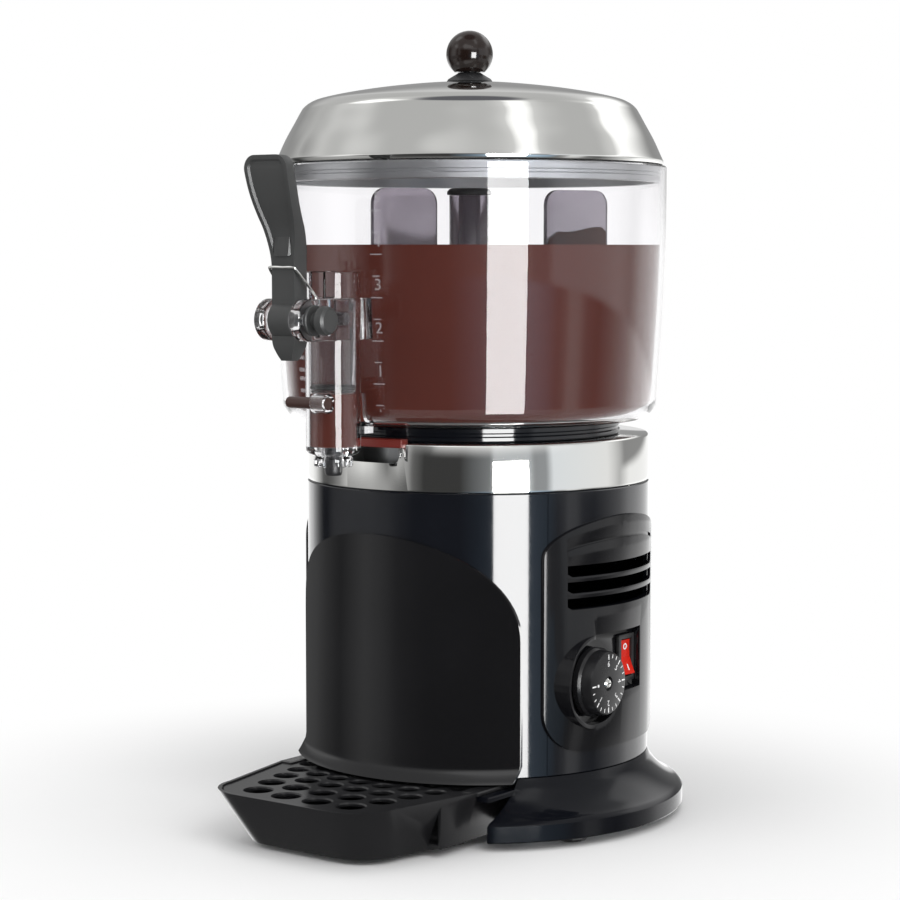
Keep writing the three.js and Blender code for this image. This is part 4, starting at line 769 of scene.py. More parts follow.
# %% Steel ring
RING = 102.3
RING_LOW = 199.8
RING_TOP = 227.5
ring = turned("ring_band", [
    (RING - 1.2, RING_LOW), (RING - 0.3, RING_LOW), (RING, RING_LOW + 0.4), (RING, RING_TOP - 1.6),
    (RING - 0.5, RING_TOP - 0.6), (RING - 1.4, RING_TOP - 0.1), (60, RING_TOP), (60, RING_TOP - 1.2),
    (RING - 1.6, RING_TOP - 1.4),
], 192, y=BASE_Y)
cut(ring, rod("tank_hole", 79, 210, 240, 96, y=BOWL_Y))
notch = [(-23, 232), (-17, 216.5), (-14.5, 215.5), (14.5, 215.5), (17, 216.5), (23, 232)]
cut(ring, pushed("ring_notch", notch, 90.3 - BOWL_Y, 108 - BASE_Y, "front"))
dress(ring, "base", "polished_steel", "steel_ring")
bowl_ring = turned("bowl_ring", [
    (84, 227.8), (89.2, 227.8), (90, 228.6), (90, 230.4), (89.2, 231.2), (89.2, 232.4), (90, 233.2),
    (90, 235.4), (89.2, 236.2), (84, 236.2),
], 160, y=BOWL_Y)
dress(bowl_ring, "bowl_unit", "black_rubber", "bowl_seal", finish="black_gloss")

# %% [markdown]
# ## The bowl and its tap
# Bowl, tap tube, web and cheeks are one clear moulding, so they are joined with booleans before the hollow,
# the bore and the pin holes are cut. Inner faces between overlapping clear forms would show as ghosts.

# %% Measures of bowl and tap
BOWL_LOW = 236.5
BOWL_TOP = 385
BOWL_FOOT = 111.2
BOWL_RIM = 116.6
WALL = 3
CHEEK = 11.5
TUBE = 15.3
BORE = 13
PIVOT_Z = 298
PIVOT = (PIVOT_Y, PIVOT_Z)
PEG = (BASE_Y - 156, 252)
BAIL_X, BAIL_Y = 10.5, BASE_Y - 164.5


def bowl_profile(inset, top):
    corner = 10 - inset / 2
    foot_radius, rim_radius = BOWL_FOOT - inset, BOWL_RIM - inset
    low = BOWL_LOW + inset
    points = arc(foot_radius - corner, low + corner, corner, -90, 0, 10)
    for step in range(1, 13):
        share = step / 12
        height = low + corner + (131 - corner) * share
        points.append((foot_radius + (rim_radius - foot_radius) * math.sin(share * math.pi / 2), height))
    return [(0, low)] + points + [(rim_radius, top)]


print("bowl in mm:", 2 * BOWL_RIM, "across its rim,", BOWL_TOP - BOWL_LOW, "high")

# %% Outside of the bowl and tap
outside = bowl_profile(0, BOWL_TOP - 0.8) + [(BOWL_RIM - 0.8, BOWL_TOP), (0, BOWL_TOP)]
bowl = turned("clear_bowl", outside, 192, y=BOWL_Y)
add(bowl, turned("tap_tube", [
    (0, 222.1), (11.5, 222.1), (14.2, 223.4), (TUBE, 225.0), (TUBE, 323.4), (TUBE - 0.6, 324), (0, 324),
], 64, y=TAP_Y))
add(bowl, slab("web", 6, (TAP_Y, BOWL_Y - 100), (233, 323.6)))
for side in (-1, 1):
    low, high = sorted((side * 8.9, side * 16))
    cheek = arc(*PIVOT, CHEEK, 90, 270, 24)
    cheek += [(BOWL_Y - BOWL_FOOT, PIVOT_Z - CHEEK), (BOWL_Y - BOWL_FOOT, PIVOT_Z + CHEEK)]
    add(bowl, soften(pushed("cheek", cheek, low, high, "x"), 0.9, 3, 50))
add(bowl, pushed("lug", circle(5.4, *PEG, 32), 3, 12, "x"))
print("bowl and tap, still solid:", len(bowl.data.polygons), "faces")

# %% Hollow, bore and pin holes
cut(bowl, turned("hollow", bowl_profile(WALL, BOWL_TOP + 4) + [(0, BOWL_TOP + 4)], 192, y=BOWL_Y))
hub = [(9.7, 239), (13, 239), (13, 242.7), (12.2, 243.5), (9.7, 243.5)]
add(bowl, turned("hub", hub, 48, y=BOWL_Y))
cut(bowl, rod("hub_hole", 9.7, 230, 250, 48, y=BOWL_Y))
lever_room = slab("lever_room", 8.9, (PIVOT_Y - 20, TAP_Y - 14.7), (284.5, 311.5))
cut(bowl, cut(lever_room, rod("tube_guard", TUBE, 280, 316, 64, y=TAP_Y)))
cut(
    bowl,
    rod("bore", BORE, 227, 330, 64, y=TAP_Y),
    rod("outlet", 7.6, 215, 230, 48, y=TAP_Y),
    slab("passage", 7, (TAP_Y, BOWL_Y - 91.2), (240, 256)),
    slab("arm_slot", 5, (PIVOT_Y, TAP_Y), (290, 330)),
    pushed("pin_hole", circle(3.7, *PIVOT, 32), -20, 20, "x"),
    pushed("peg_hole", circle(3.6, *PEG, 32), 0, 16, "x"),
    rod("wire_hole_left", 1.1, 305.7, 312, 16, y=BAIL_Y, x=-BAIL_X),
    rod("wire_hole_right", 1.1, 305.7, 312, 16, y=BAIL_Y, x=BAIL_X),
)
dress(bowl, "bowl_unit", "clear_plastic", "bowl", smooth=30)

# %% [markdown]
# The level marks are thin raised strokes and figures on the outer wall, with a frosted face. They are drawn
# flat, bent round the bowl's radius and set a quarter of a millimetre into the wall.
# A picture could be laid on the bowl, but real strokes have edges that catch light and stay sharp.

# %% Helpers for level marks
LITRE_ANGLE = 10.2
CUP_ANGLE = -22
LITRE_LOW = 265.5
LITRE_STEP = 24


def wall_radius(height):
    share = min(max((height - 246.5) / 121, 0), 1)
    return BOWL_FOOT + (BOWL_RIM - BOWL_FOOT) * math.sin(share * math.pi / 2)


def wrap_on_bowl(piece, angle, level):
    """Bends a mark drawn flat in X and Z, in millimetres from its own middle, round the bowl."""
    for vertex in piece.data.vertices:
        across, out, up = (value / MM for value in vertex.co)
        radius = wall_radius(level + up) + out
        turn_to = math.radians(angle) + across / radius
        vertex.co = metres((radius * math.sin(turn_to), BOWL_Y - radius * math.cos(turn_to), level + up))


def figure(name, text, size, depth):
    let_go()
    bpy.ops.object.text_add()
    letter = bpy.context.object
    letter.data.body = text
    letter.data.size = size * MM
    letter.data.extrude = depth * MM / 2
    letter.data.align_x = "CENTER"
    letter.data.align_y = "CENTER"
    bpy.ops.object.convert(target="MESH")
    letter = bpy.context.object
    letter.name = letter.data.name = name
    take(letter)
    bpy.ops.object.mode_set(mode="EDIT")
    tidy_mesh()
    return letter


def mark_bowl(mark, angle, level):
    wrap_on_bowl(mark, angle, level)
    dress(mark, "bowl_unit", "clear_plastic", finish="frosted_mark")


# %% Marks on the bowl
for litres in (5, 4, 3, 2, 1):
    level = LITRE_LOW + LITRE_STEP * (litres - 1)
    number = figure(f"level_figure_{litres}", str(litres), 9, 0.5)
    number.data.transform(Matrix.Rotation(math.pi / 2, 4, "X"))
    mark_bowl(number, LITRE_ANGLE, level + 3)
    for half, length in ((0, 7), (12, 4.5)):
        stroke = rounded_box(length / 2, 0.35, 0.3)
        line = pushed(f"level_line_{litres}_{half}", stroke, -0.25, 0.25, "front")
        mark_bowl(line, LITRE_ANGLE - 0.5, level - 4 - half)
        for row in (0, 5):
            stroke = rounded_box(3.2, 1.1, 0.5)
            line = pushed(f"cup_line_{litres}_{half}_{row}", stroke, -0.25, 0.25, "front")
            mark_bowl(line, CUP_ANGLE, level + 2 - half - row)

# %% [markdown]
# The drink fills the bowl to its four-litre mark, a hair inside the wall, with the edge drawn up a little
# where it wets the plastic. A second, small body of it stands in the tap round the piston's foot.
# It could touch the wall, but two surfaces in one place render as noise.

# %% Drink
DRINK_TOP = 338
DRINK_INSET = WALL + 0.12
wet = wall_radius(DRINK_TOP)
body = [point for point in bowl_profile(DRINK_INSET, DRINK_TOP + 1.0) if point[1] < DRINK_TOP - 2]
edge = [
    (wet - DRINK_INSET, DRINK_TOP + 0.9), (wet - 4.2, DRINK_TOP + 0.25), (wet - 6.5, DRINK_TOP), (0, DRINK_TOP),
]
liquid = turned("drink_in_bowl", body + edge, 160, y=BOWL_Y)
cut(liquid, rod("hub_room", 13.4, 230, 243.6, 48, y=BOWL_Y))
dress(liquid, "bowl_unit", "brown_plastic", finish="hot_chocolate")
tap_fill = turned("drink_in_tap", [
    (7.9, 227.2), (12.9, 227.2), (12.9, 256.4), (5.4, 256.8), (5.4, 243.5), (9.9, 243), (9.9, 231),
], 64, y=TAP_Y)
add(tap_fill, slab("passage_fill", 6.9, (TAP_Y + 11.5, BOWL_Y - 108.2), (240.1, 255.9)))
dress(tap_fill, "bowl_unit", "brown_plastic", finish="hot_chocolate")

# %% [markdown]
# ## Tap
# Under the tube sits a crown with eight notches round a dark tip. In the tube slides a piston, whose skirt
# carries an O-ring. All of these are turned pieces with small, honest edge rounds.
# The notches could be eight cuts, but a slab through the middle makes two of them at once.

# %% Crown and tip
crown = turned("outlet_crown_ring", [
    (5.2, 219.4), (8.5, 219.4), (8.5, 215.8), (10.4, 215.8), (10.9, 216.3), (10.9, 220.4), (9.7, 221.8),
    (7.3, 221.8), (7.3, 226.7), (5.2, 226.7),
], 64, y=TAP_Y)
for angle in (0, 45, 90, 135):
    notch = slab("crown_notch", 13, (-1.5, 1.5), (213, 218.8))
    notch.data.transform(upright(TAP_Y, angle))
    cut(crown, notch)
dress(crown, "bowl_unit", "clear_plastic", "outlet_crown")
tip_profile = [(3, 210.8), (4.1, 210.8), (4.6, 211.6), (4.9, 213.4), (4.9, 226.7), (3, 226.7)]
tip = turned("outlet_tip_tube", tip_profile, 48, y=TAP_Y)
dress(tip, "bowl_unit", "black_matt", "outlet_tip")

# %% Piston and stop peg
piston = turned("piston_body", [
    (0, 227.3), (7.6, 227.3), (9.6, 231.3), (9.6, 238.8), (9.1, 239.3), (5, 239.3), (5, 257), (12.2, 257),
    (12.65, 257.5), (12.65, 258.5), (11.1, 258.5), (11.1, 261.4), (12.65, 261.4), (12.65, 307.4), (12.1, 308),
    (0, 308),
], 64, y=TAP_Y)
mouth = [
    (TAP_Y - 13, 290.2), (TAP_Y - 6.5, 293.6), (TAP_Y + 4.4, 293.6), (TAP_Y + 4.4, 302.4), (TAP_Y - 13, 302.4),
]
cut(piston, pushed("piston_mouth", mouth, -4.9, 4.9, "x"))
dress(piston, "piston", "charcoal_plastic", "tap_piston", finish="grey_clear_plastic")
o_ring = turned("piston_ring", circle(1.3, 11.6, 259.95, 16), 64, y=TAP_Y)
dress(o_ring, "piston", "black_rubber", "piston_o_ring", smooth=80)

peg_profile = [(0, -17), (1.8, -17), (2.9, -16.2), (3.3, -14.8), (3.3, 11.7), (0, 11.7)]
peg = turned("stop_peg_rod", peg_profile, 40, across=PEG)
dress(peg, "bowl_unit", "brown_plastic", "stop_peg")

# %% [markdown]
# ## Lever
# The lever is lofted from its tail up to its paddle: a run of boxy sections that widen and lean forward.
# Then the long edges are bevelled, and the front of the paddle is inset and pushed in, which leaves the
# raised border that the thumb feels.
# A cube could be pulled into that form by eye, but sections of known size keep the paddle true to measure.

# %% Loft of the lever
DISH_LOW, DISH_HIGH = 331, 386.3
HALF_THICK = 5.25
side_table = between([
    (276, 3.6, -2.8, 2.8), (280, 5.6, -4.4, 4.4), (286, 7.9, -HALF_THICK, HALF_THICK),
    (298, 8, -HALF_THICK, HALF_THICK), (320, 8, -HALF_THICK, HALF_THICK), (329, 8, -5.5, 5.0),
    (337, 9.1, -6.2, 3.9), (346.5, 10.9, -8.3, 0.4), (354, 12.5, -11.3, -4.0), (361, 13.6, -14.2, -7.4),
    (368, 14.4, -16.6, -9.9), (375, 14.8, -18.6, -11.9), (379, 15, -19.4, -12.7),
], 4)
for step in range(1, 8):
    share = step / 7
    rise, shrink = math.sin(share * math.pi / 2), 1 - math.cos(share * math.pi / 2)
    side_table.append((379 + 7.5 * rise, 15 - 7.5 * shrink, -19.4 - 0.8 * share, -12.7 - 0.9 * share))
lever = lofted("lever_paddle", [
    [(x, PIVOT_Y + y, z) for x, y in ((-half, front), (half, front), (half, back), (-half, back))]
    for z, half, front, back in side_table
])
print("lever loft:", len(lever.data.polygons), "faces")

# %% Dished front, hub and nose
take(lever)
bpy.ops.object.mode_set(mode="EDIT")
bpy.ops.mesh.select_mode(type="FACE")
bpy.ops.mesh.select_all(action="DESELECT")
shape = bmesh.from_edit_mesh(lever.data)
for face in shape.faces:
    middle = face.calc_center_median() / MM
    face.select = face.normal.y < -0.5 and DISH_LOW < middle.z < DISH_HIGH
bmesh.update_edit_mesh(lever.data)
bpy.ops.mesh.inset(thickness=2.3 * MM, depth=0)
bpy.ops.mesh.inset(thickness=0.9 * MM, depth=-1.3 * MM)
bpy.ops.mesh.select_mode(type="VERT")
bpy.ops.object.mode_set(mode="OBJECT")
soften(lever, 1.3, 3, 38)
hub_profile = [(0, -8), (9.3, -8), (10, -7.3), (10, 7.3), (9.3, 8), (0, 8)]
add(lever, turned("lever_hub", hub_profile, 64, across=PIVOT))
nose = pushed("lever_nose", circle(3.5, TAP_Y, PIVOT_Z, 32), -4, 4, "x")
add(nose, slab("lever_neck", 4, (PIVOT_Y, TAP_Y), (PIVOT_Z - 2.2, PIVOT_Z + 2.2)))
add(lever, nose)
cut(lever, rod("lever_bore", 3.7, -12, 12, 32, across=PIVOT))
dress(lever, "lever", "charcoal_plastic", "tap_lever", smooth=32)

# %% [markdown]
# The pivot pin is pushed in from the side. Its mushroom head stands clear of a thin washer, so that two
# fingers can draw it out for washing.
# Head, neck and washer could be discs on a rod, but a single profile turns them all at once.

# %% Pivot pin
pin = turned("pivot_pin_head", [
    (0, -16.3), (2.8, -16.3), (3.4, -15.6), (3.4, 16.3), (8.0, 16.3), (8.4, 16.8), (8.4, 18.1), (8.0, 18.5),
    (4.8, 18.6), (4.3, 19.6), (4.3, 21.4), (5.2, 22.5), (7.0, 22.6), (7.9, 23.6), (8.0, 25.6), (7.5, 27.6),
    (6.0, 28.8), (0, 29),
], 64, across=PIVOT)
dress(pin, "bowl_unit", "charcoal_plastic", "pivot_pin")

# %% [markdown]
# The bail is one bent wire. Its bar lies on the front of the lever and its ends stand in the two cheeks.
# It flexes when the lever is pulled.
# A circle could be extruded along its run, but a curve with a round bevel, made a mesh at the end, keeps
# its thickness in the bends.

# %% Bail wire


def bent_wire(name, points, radius):
    line = bpy.data.curves.new(name, "CURVE")
    line.dimensions = "3D"
    line.bevel_depth = radius * MM
    line.bevel_resolution = 3
    line.use_fill_caps = True
    run = line.splines.new("POLY")
    run.points.add(len(points) - 1)
    for place, point in zip(run.points, points):
        place.co = (*metres(point), 1)
    piece = bpy.data.objects.new(name, line)
    bpy.context.scene.collection.objects.link(piece)
    take(piece)
    bpy.ops.object.convert(target="MESH")
    return bpy.context.object


BAR_Y = PIVOT_Y - HALF_THICK - 1.1
half_bail = between([
    (0, BAR_Y, 326.6), (7.6, BAR_Y, 326.6), (9.2, BAR_Y + 1.2, 325.2), (10.1, (BAR_Y + BAIL_Y) / 2, 318.6),
    (BAIL_X, BAIL_Y - 1.6, 312.6), (BAIL_X, BAIL_Y, 310.6), (BAIL_X, BAIL_Y, 306),
], 5)
bail = bent_wire("bail_wire", [(-x, y, z) for x, y, z in reversed(half_bail)][:-1] + half_bail, 0.8)
take(bail)
bpy.ops.object.shade_smooth()
bail.data.materials.append(finishes["polished_steel"])
metres((0, BAIL_Y, 310))
metres((0, BAR_Y + 1.5, 325))
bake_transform(bail)
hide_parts("lever_wire")
print(f"{bail.name}: {len(bail.data.polygons)} faces between bowl_unit and lever")

# %% [markdown]
# ## Lid and knob
# The lid is a spun sheet: a short upright rim, a flank that leans in, a soft shoulder and a low crown.
# A polished form shows every kink, so its profile runs through many points of one smooth curve.
# Subdivision could smooth a coarse profile, but it would draw it away from its measures. The band inside
# the lid, the washer and the ball of the knob are turned about the same axis.

# %% Lid
flank = between([
    (114.6, 3.4), (113.9, 4.6), (108.9, 15.5), (103.4, 25.4), (100.2, 31.2), (98.2, 34.2), (94.6, 37.0),
    (89, 39.3), (75, 42.4), (55, 45.6), (30, 48.4), (12, 49.4), (0, 49.5),
], 5)
outer = [(113.9, 0.4), (114.6, 1.0)] + flank
inner = [(max(radius - 1.2, 0), height - 1.1) for radius, height in reversed(flank)]
lid = turned("lid_spun", outer + inner + [(112.6, 0.4)], 192, y=BOWL_Y, z=BOWL_TOP)
dress(lid, "lid", "polished_steel", "lid_shell", smooth=50)

seal = turned("lid_inner_band", [
    (109.8, -9.6), (110.4, -10), (112.4, -10), (113.0, -9.4), (113.0, -6.6), (112.2, -5.9), (112.2, -4.6),
    (113.0, -4.0), (113.0, 0), (111.9, 0.3), (110.7, 3.2), (109.8, 3.2),
], 160, y=BOWL_Y, z=BOWL_TOP)
dress(seal, "lid", "dull_steel", "lid_seal")

# %% Knob of the lid
washer = turned("knob_washer_cone", [
    (3.3, 49.8), (13.1, 49.8), (13.5, 50.3), (12.6, 51.6), (7.6, 54.6), (6.6, 55.3), (3.3, 55.3),
], 64, y=BOWL_Y, z=BOWL_TOP)
dress(washer, "lid", "black_matt", "knob_washer")
BALL, BALL_LOW, BALL_MIDDLE = 13.8, 55.6, 66.2
ball_start = math.degrees(math.asin((BALL_LOW - BALL_MIDDLE) / BALL))
ball_profile = [(0, BALL_LOW)] + arc(0, BALL_MIDDLE, BALL, ball_start, 90, 30)[:-1] + [(0, BALL_MIDDLE + BALL)]
ball = turned("knob_ball", ball_profile, 96, y=BOWL_Y, z=BOWL_TOP)
dress(ball, "lid", "black_gloss", "lid_knob", finish="ball_brown")

# %% [markdown]
# ## Stirrer
# A column with one blade near it and one that reaches to the wall. Only their tops show above the drink, but
# they are seen through clear plastic from all sides, so their edges are rounded. The outer one carries a
# smear of drink just above the surface.
# Column and blades could stay apart, but joined into one moulding they show no inner faces.

# %% Stirrer
STIRRER_TURN = 66


def turn_stirrer(piece):
    piece.data.transform(upright(BOWL_Y, STIRRER_TURN))
    return piece


def blade(name, start, end, side):
    points = [(start, 243.5), (end, 249.5)] + arc(end - 9, 363, 9, 0, 90, 10)
    points += arc(start + 9, 363, 9, 90, 180, 10)
    return pushed(name, [(u * side, v) for u, v in points], -2, 2, "front")


column = turned("stirrer_column", [(4.3, 243.8), (12, 243.8), (12, 368), (4.3, 368)], 64)
arms = [(-23.6, 243.8), (53.6, 243.8), (53.6, 251.6), (0, 256.8), (-23.6, 251.6)]
bridge = [(-23.6, 318), (53.6, 318), (53.6, 330), (-23.6, 330)]
add(
    column,
    blade("outer_blade", 53, 97, 1),
    blade("inner_blade", 23, 65, -1),
    pushed("stirrer_arms", arms, -2, 2, "front"),
    pushed("stirrer_upper", bridge, -2, 2, "front"),
)
dress(turn_stirrer(soften(column, 0.9, 2, 50)), "stirrer_unit", "smoked_plastic", "stirrer")

# %% Smear and cap
smear_top = []
for share in [step / 28 for step in range(29)]:
    droop = 5 * max(0, share - 0.82) / 0.18 + 2.5 * max(0, 0.08 - share) / 0.08
    smear_top.append((96.2 - 42.4 * share, 349.6 - 3.4 * share + 0.7 * math.sin(8 * share) - droop))
smear = pushed("drink_smear", [(53.8, 330), (96.2, 330)] + smear_top, -2.7, 2.7, "front")
dress(turn_stirrer(soften(smear, 1.2, 3, 50)), "stirrer_unit", "brown_plastic", finish="hot_chocolate")
cap = turned("column_cap_disc", [
    (0, 368.3), (13, 368.3), (13.4, 368.8), (13.2, 370.4), (12.0, 371.8), (10.6, 372.3), (0, 372.3),
], 64, y=BOWL_Y)
dress(cap, "stirrer_unit", "black_matt", "column_cap")

# %% [markdown]
# ## Dial and switch
# The dial's face carries a generic scale of six figures with short strokes between them, and a cross-head
# screw in its middle. Each stroke is a thin plate, and each figure is a text that was made a mesh.
# A picture could carry the scale, but shapes stay sharp however near the camera comes.

# %% Dial
KNOB_FACE = 110.5
FACE_RIGHT = Matrix(((0, 0, 1, 0), (1, 0, 0, 0), (0, 1, 0, 0), (0, 0, 0, 1)))
dial = turned("dial_knob", [
    (6, 98.6), (19.6, 98.6), (20, 99.0), (20, 102.2), (19.4, 103.0), (18.8, 103.7), (18.3, 109.1),
    (17.7, 110.2), (16.9, KNOB_FACE), (4.2, KNOB_FACE), (3.6, KNOB_FACE - 1.2), (0, KNOB_FACE - 1.2), (0, 100),
    (6, 100),
], 96, across=DIAL)
dress(dial, "dial", "black_matt", "thermostat_knob", finish="dial_black")


def on_dial(piece, radius, angle):
    """Places a mark drawn flat round the origin at a clock angle on the dial's face, its top outwards."""
    clock = Matrix.Rotation(math.radians(-angle), 4, "Z") @ Matrix.Translation((0, radius * MM, 0))
    piece.data.transform(Matrix.Translation(metres((KNOB_FACE, *DIAL))) @ FACE_RIGHT @ clock)
    return piece


# %% Scale of the dial
for step in range(19):
    half_width, length = (0.42, 3.0) if step % 3 == 0 else (0.28, 2.2)
    if step == 18:
        length = 4.0
    tick = pushed(f"dial_stroke_{step + 1}", rounded_box(half_width, length / 2, 0.2, steps=2), -0.02, 0.06)
    dress(on_dial(tick, 16.8 - length / 2, 15 * step), "dial", "black_matt", finish="label_white")
for number in range(6):
    sign = figure(f"dial_figure_{number + 1}", str(6 - number), 4.6, 0.08)
    dress(on_dial(sign, 11.2, number * 45), "dial", "black_matt", finish="label_white")
dot = pushed("dial_dot", circle(0.9, steps=24), -0.02, 0.06)
dress(on_dial(dot, 10.6, 270), "dial", "black_matt", finish="label_white")

screw_profile = [(0, 107.7), (3.0, 107.7), (3.2, 108.7), (3.0, 109.9), (2.2, 110.6), (0, 110.8)]
screw = turned("dial_screw_head", screw_profile, 48, across=DIAL)
for half_y, half_z in ((2.1, 0.36), (0.36, 2.1)):
    low, high = (109.7, DIAL_Y - half_y, DIAL_Z - half_z), (112, DIAL_Y + half_y, DIAL_Z + half_z)
    cut(screw, block("screw_cross", low, high))
dress(screw, "dial", "polished_steel", "knob_screw")

# %% [markdown]
# The switch is a black frame with a red key that rocks about its middle. The key could be a box that is
# bent, but here its hollow face is a smooth run of points, tilted with the rest of the outline before it is
# pushed through. The signs for on and off are then laid on the tilted face.

# %% Switch
FRAME_FACE = 99.1
ROCKER_HALF = 10.2
ROCKER_TILT = math.radians(11)
switch = pushed("switch_frame", rounded_box(8.5, 13.9, 1.2, *SWITCH, 4), FRAME_FACE - 1.8, FRAME_FACE, "x")
body_block = rounded_box(6.6, 12, 0.6, *SWITCH, 2)
rocker_room = rounded_box(5.5, 11.1, 0.4, *SWITCH, 2)
add(switch, pushed("switch_body_block", body_block, FRAME_FACE - 24, FRAME_FACE - 1, "x"))
cut(switch, pushed("rocker_room", rocker_room, FRAME_FACE - 7.1, FRAME_FACE + 3, "x"))
dress(soften(switch, 0.35, 2, 50), "base", "black_matt", "switch_body")

rocker_side = between([
    (2.7, -ROCKER_HALF), (1.7, -6), (1.0, -2), (0.72, 0), (1.0, 2), (1.7, 6), (2.7, ROCKER_HALF),
], 3)
cosine, sine = math.cos(ROCKER_TILT), math.sin(ROCKER_TILT)
rocker_outline = [
    (u * cosine - v * sine + FRAME_FACE - 1.8, u * sine + v * cosine + SWITCH_Z)
    for u, v in [(-5, 0), (-2, -9.2)] + rocker_side + [(-2, 9.2)]
]
rocker = pushed("rocker_key", rocker_outline, -SWITCH_Y - 5.2, -SWITCH_Y + 5.2, "front")
dress(soften(rocker, 0.5, 3, 40), "rocker", "red_plastic", "power_rocker")


# %% Signs on the key


def on_rocker(piece, height):
    """Lays a mark drawn flat round the origin on the rocker's tilted face at a height off its middle."""
    lean = Matrix.Rotation(-ROCKER_TILT, 4, "Y")
    out = 0.75 + 2.0 * (abs(height) / ROCKER_HALF) ** 1.35
    slope = Matrix.Rotation(math.copysign(math.atan(0.27), height), 4, "Y")
    seat = Matrix.Translation(metres((FRAME_FACE - 1.8, *SWITCH)))
    piece.data.transform(seat @ lean @ Matrix.Translation(metres((out, 0, height))) @ slope @ FACE_RIGHT)
    return piece


ring_sign = pushed("mark_off", circle(1.9, steps=32), -0.15, 0.12)
cut(ring_sign, pushed("mark_hole", circle(1.05, steps=32), -1, 1))
dress(on_rocker(ring_sign, 6.2), "rocker", "red_plastic", finish="label_white")
bar_sign = pushed("mark_on", rounded_box(0.45, 2.0, 0.3), -0.15, 0.12)
dress(on_rocker(bar_sign, -6.0), "rocker", "red_plastic", finish="label_white")

# %% [markdown]
# ## Drip tray and grid
# The tray is a tapered tub: a rounded front, a wide shoulder and a neck that slides into the foot. A pushed
# outline could be scaled at its top, but a loft from floor to rim gives the front more slope than the sides.

# %% Drip tray
TRAY_RIM = 34
TRAY_LOW = 3.5


def tray_outline(level, inset):
    share = (level - TRAY_LOW) / (TRAY_RIM - TRAY_LOW)
    reach = 167 + 17 * share - inset
    draft = 10 * (1 - share)
    front_half, rear_half = 60 - draft - inset, 72 - draft - inset
    corner, rear = 25 - inset, -99 - inset
    points = [(-rear_half, rear)]
    points += arc(-front_half + corner, -reach + corner, corner, 180, 270, 14)
    points += arc(front_half - corner, -reach + corner, corner, 270, 360, 14)
    return [(x, y + BASE_Y) for x, y in points + [(rear_half, rear)]]


def tray_form(name, inset, low, high):
    return lofted(name, [[(x, y, level) for x, y in tray_outline(level, inset)] for level in (low, high)])


tray = tray_form("tray_tub", 0, TRAY_LOW, TRAY_RIM)
add(
    tray,
    slab("tray_neck", 65, (BASE_Y - 124, BASE_Y - 58), (5.7, TRAY_RIM)),
    slab("tray_flange", 72, (BASE_Y - 99.6, BASE_Y - 58), (31.6, TRAY_RIM)),
)
cut(
    tray,
    tray_form("tray_hollow", 2.2, 5.7, TRAY_RIM + 2),
    slab("neck_hollow", 62.8, (BASE_Y - 124, BASE_Y - 60.2), (7.9, TRAY_RIM + 2)),
)
dress(soften(flatten(tray), 0.6, 3, 50), "tray", "black_gloss", "drip_tray", finish="tray_satin")

# %% [markdown]
# The grid lies in the tray, a plate with rows of holes that grow towards the front and curve with it. The
# holes could be cut one by one, but joined into one tool they take a single boolean. Each widens at its top.

# %% Drip grid
HOLE_RADIUS = 8.1
HOLE_PITCH = 22.2
# Each row: its reach forwards, the size of its holes and their pitch, as shares of the first, and how many.
GRID_ROWS = [
    (1, 1, 1, 4), (0.889, 0.926, 0.901, 5), (0.783, 0.852, 0.811, 6), (0.687, 0.765, 0.748, 7),
    (0.599, 0.679, 0.703, 8), (0.521, 0.593, 0.667, 8), (0.449, 0.519, 0.64, 8),
]
grid = tray_form("grid_plate", 2.8, 31.2, 33.2)
add(grid, slab("grid_neck", 62.5, (BASE_Y - 124, BASE_Y - 60.5), (31.2, 33.2)))
holes = []
for row_share, radius_share, pitch_share, count in GRID_ROWS:
    radius = HOLE_RADIUS * radius_share
    profile = [(0, 28), (radius, 28), (radius, 32.4), (radius + 0.8, 33.3), (radius + 0.8, 36), (0, 36)]
    for place in range(count):
        x = HOLE_PITCH * pitch_share * (place - (count - 1) / 2)
        holes.append(turned("hole", profile, 32, x=x, y=BASE_Y - 166 * row_share + x * x / 540))
take(holes[0])
for hole in holes:
    hole.select_set(True)
bpy.ops.object.join()
cut(grid, holes[0])
dress(grid, "tray", "black_gloss", "drip_grid", finish="tray_satin")

# %% [markdown]
# ## Everything that stays
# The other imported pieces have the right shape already. Each gets the finish of the material slot that the
# record gives it, so nothing is left in a flat colour.

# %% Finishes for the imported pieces
for part in frame["record"]["subparts"]:
    node = frame["nodes"][part["node"]]
    node.data.materials.clear()
    node.data.materials.append(finishes[part["material_slot"]])

# %% [markdown]
# A red gasket lies round the bowl's foot, and a short run of it looks out of the ring's notch below the tap.
# The whole round could be kept, but nothing else of it shows, so a boolean keeps only that run.

# %% Gasket
gasket_profile = [(90.6, 224.6), (96, 224.6), (96.6, 225.2), (96.6, 229.0), (96, 229.6), (90.6, 229.6)]
gasket = turned("outlet_gasket", gasket_profile, 144, y=BOWL_Y)
keep_inside(gasket, block("gasket_form", (-15, BOWL_Y - 120, 220), (21.5, BOWL_Y, 240)))
dress(soften(gasket, 0.4, 2, 50), "bowl_unit", "red_rubber")

# %% [markdown]
# ## Studio
# The floor is pale round the feet and fades to plain white about thirty centimetres away from them, so it
# keeps the soft shadow and meets the white backdrop without a line. A sheet that curves up behind the
# machine could hide that line too, but a fade needs no second surface.

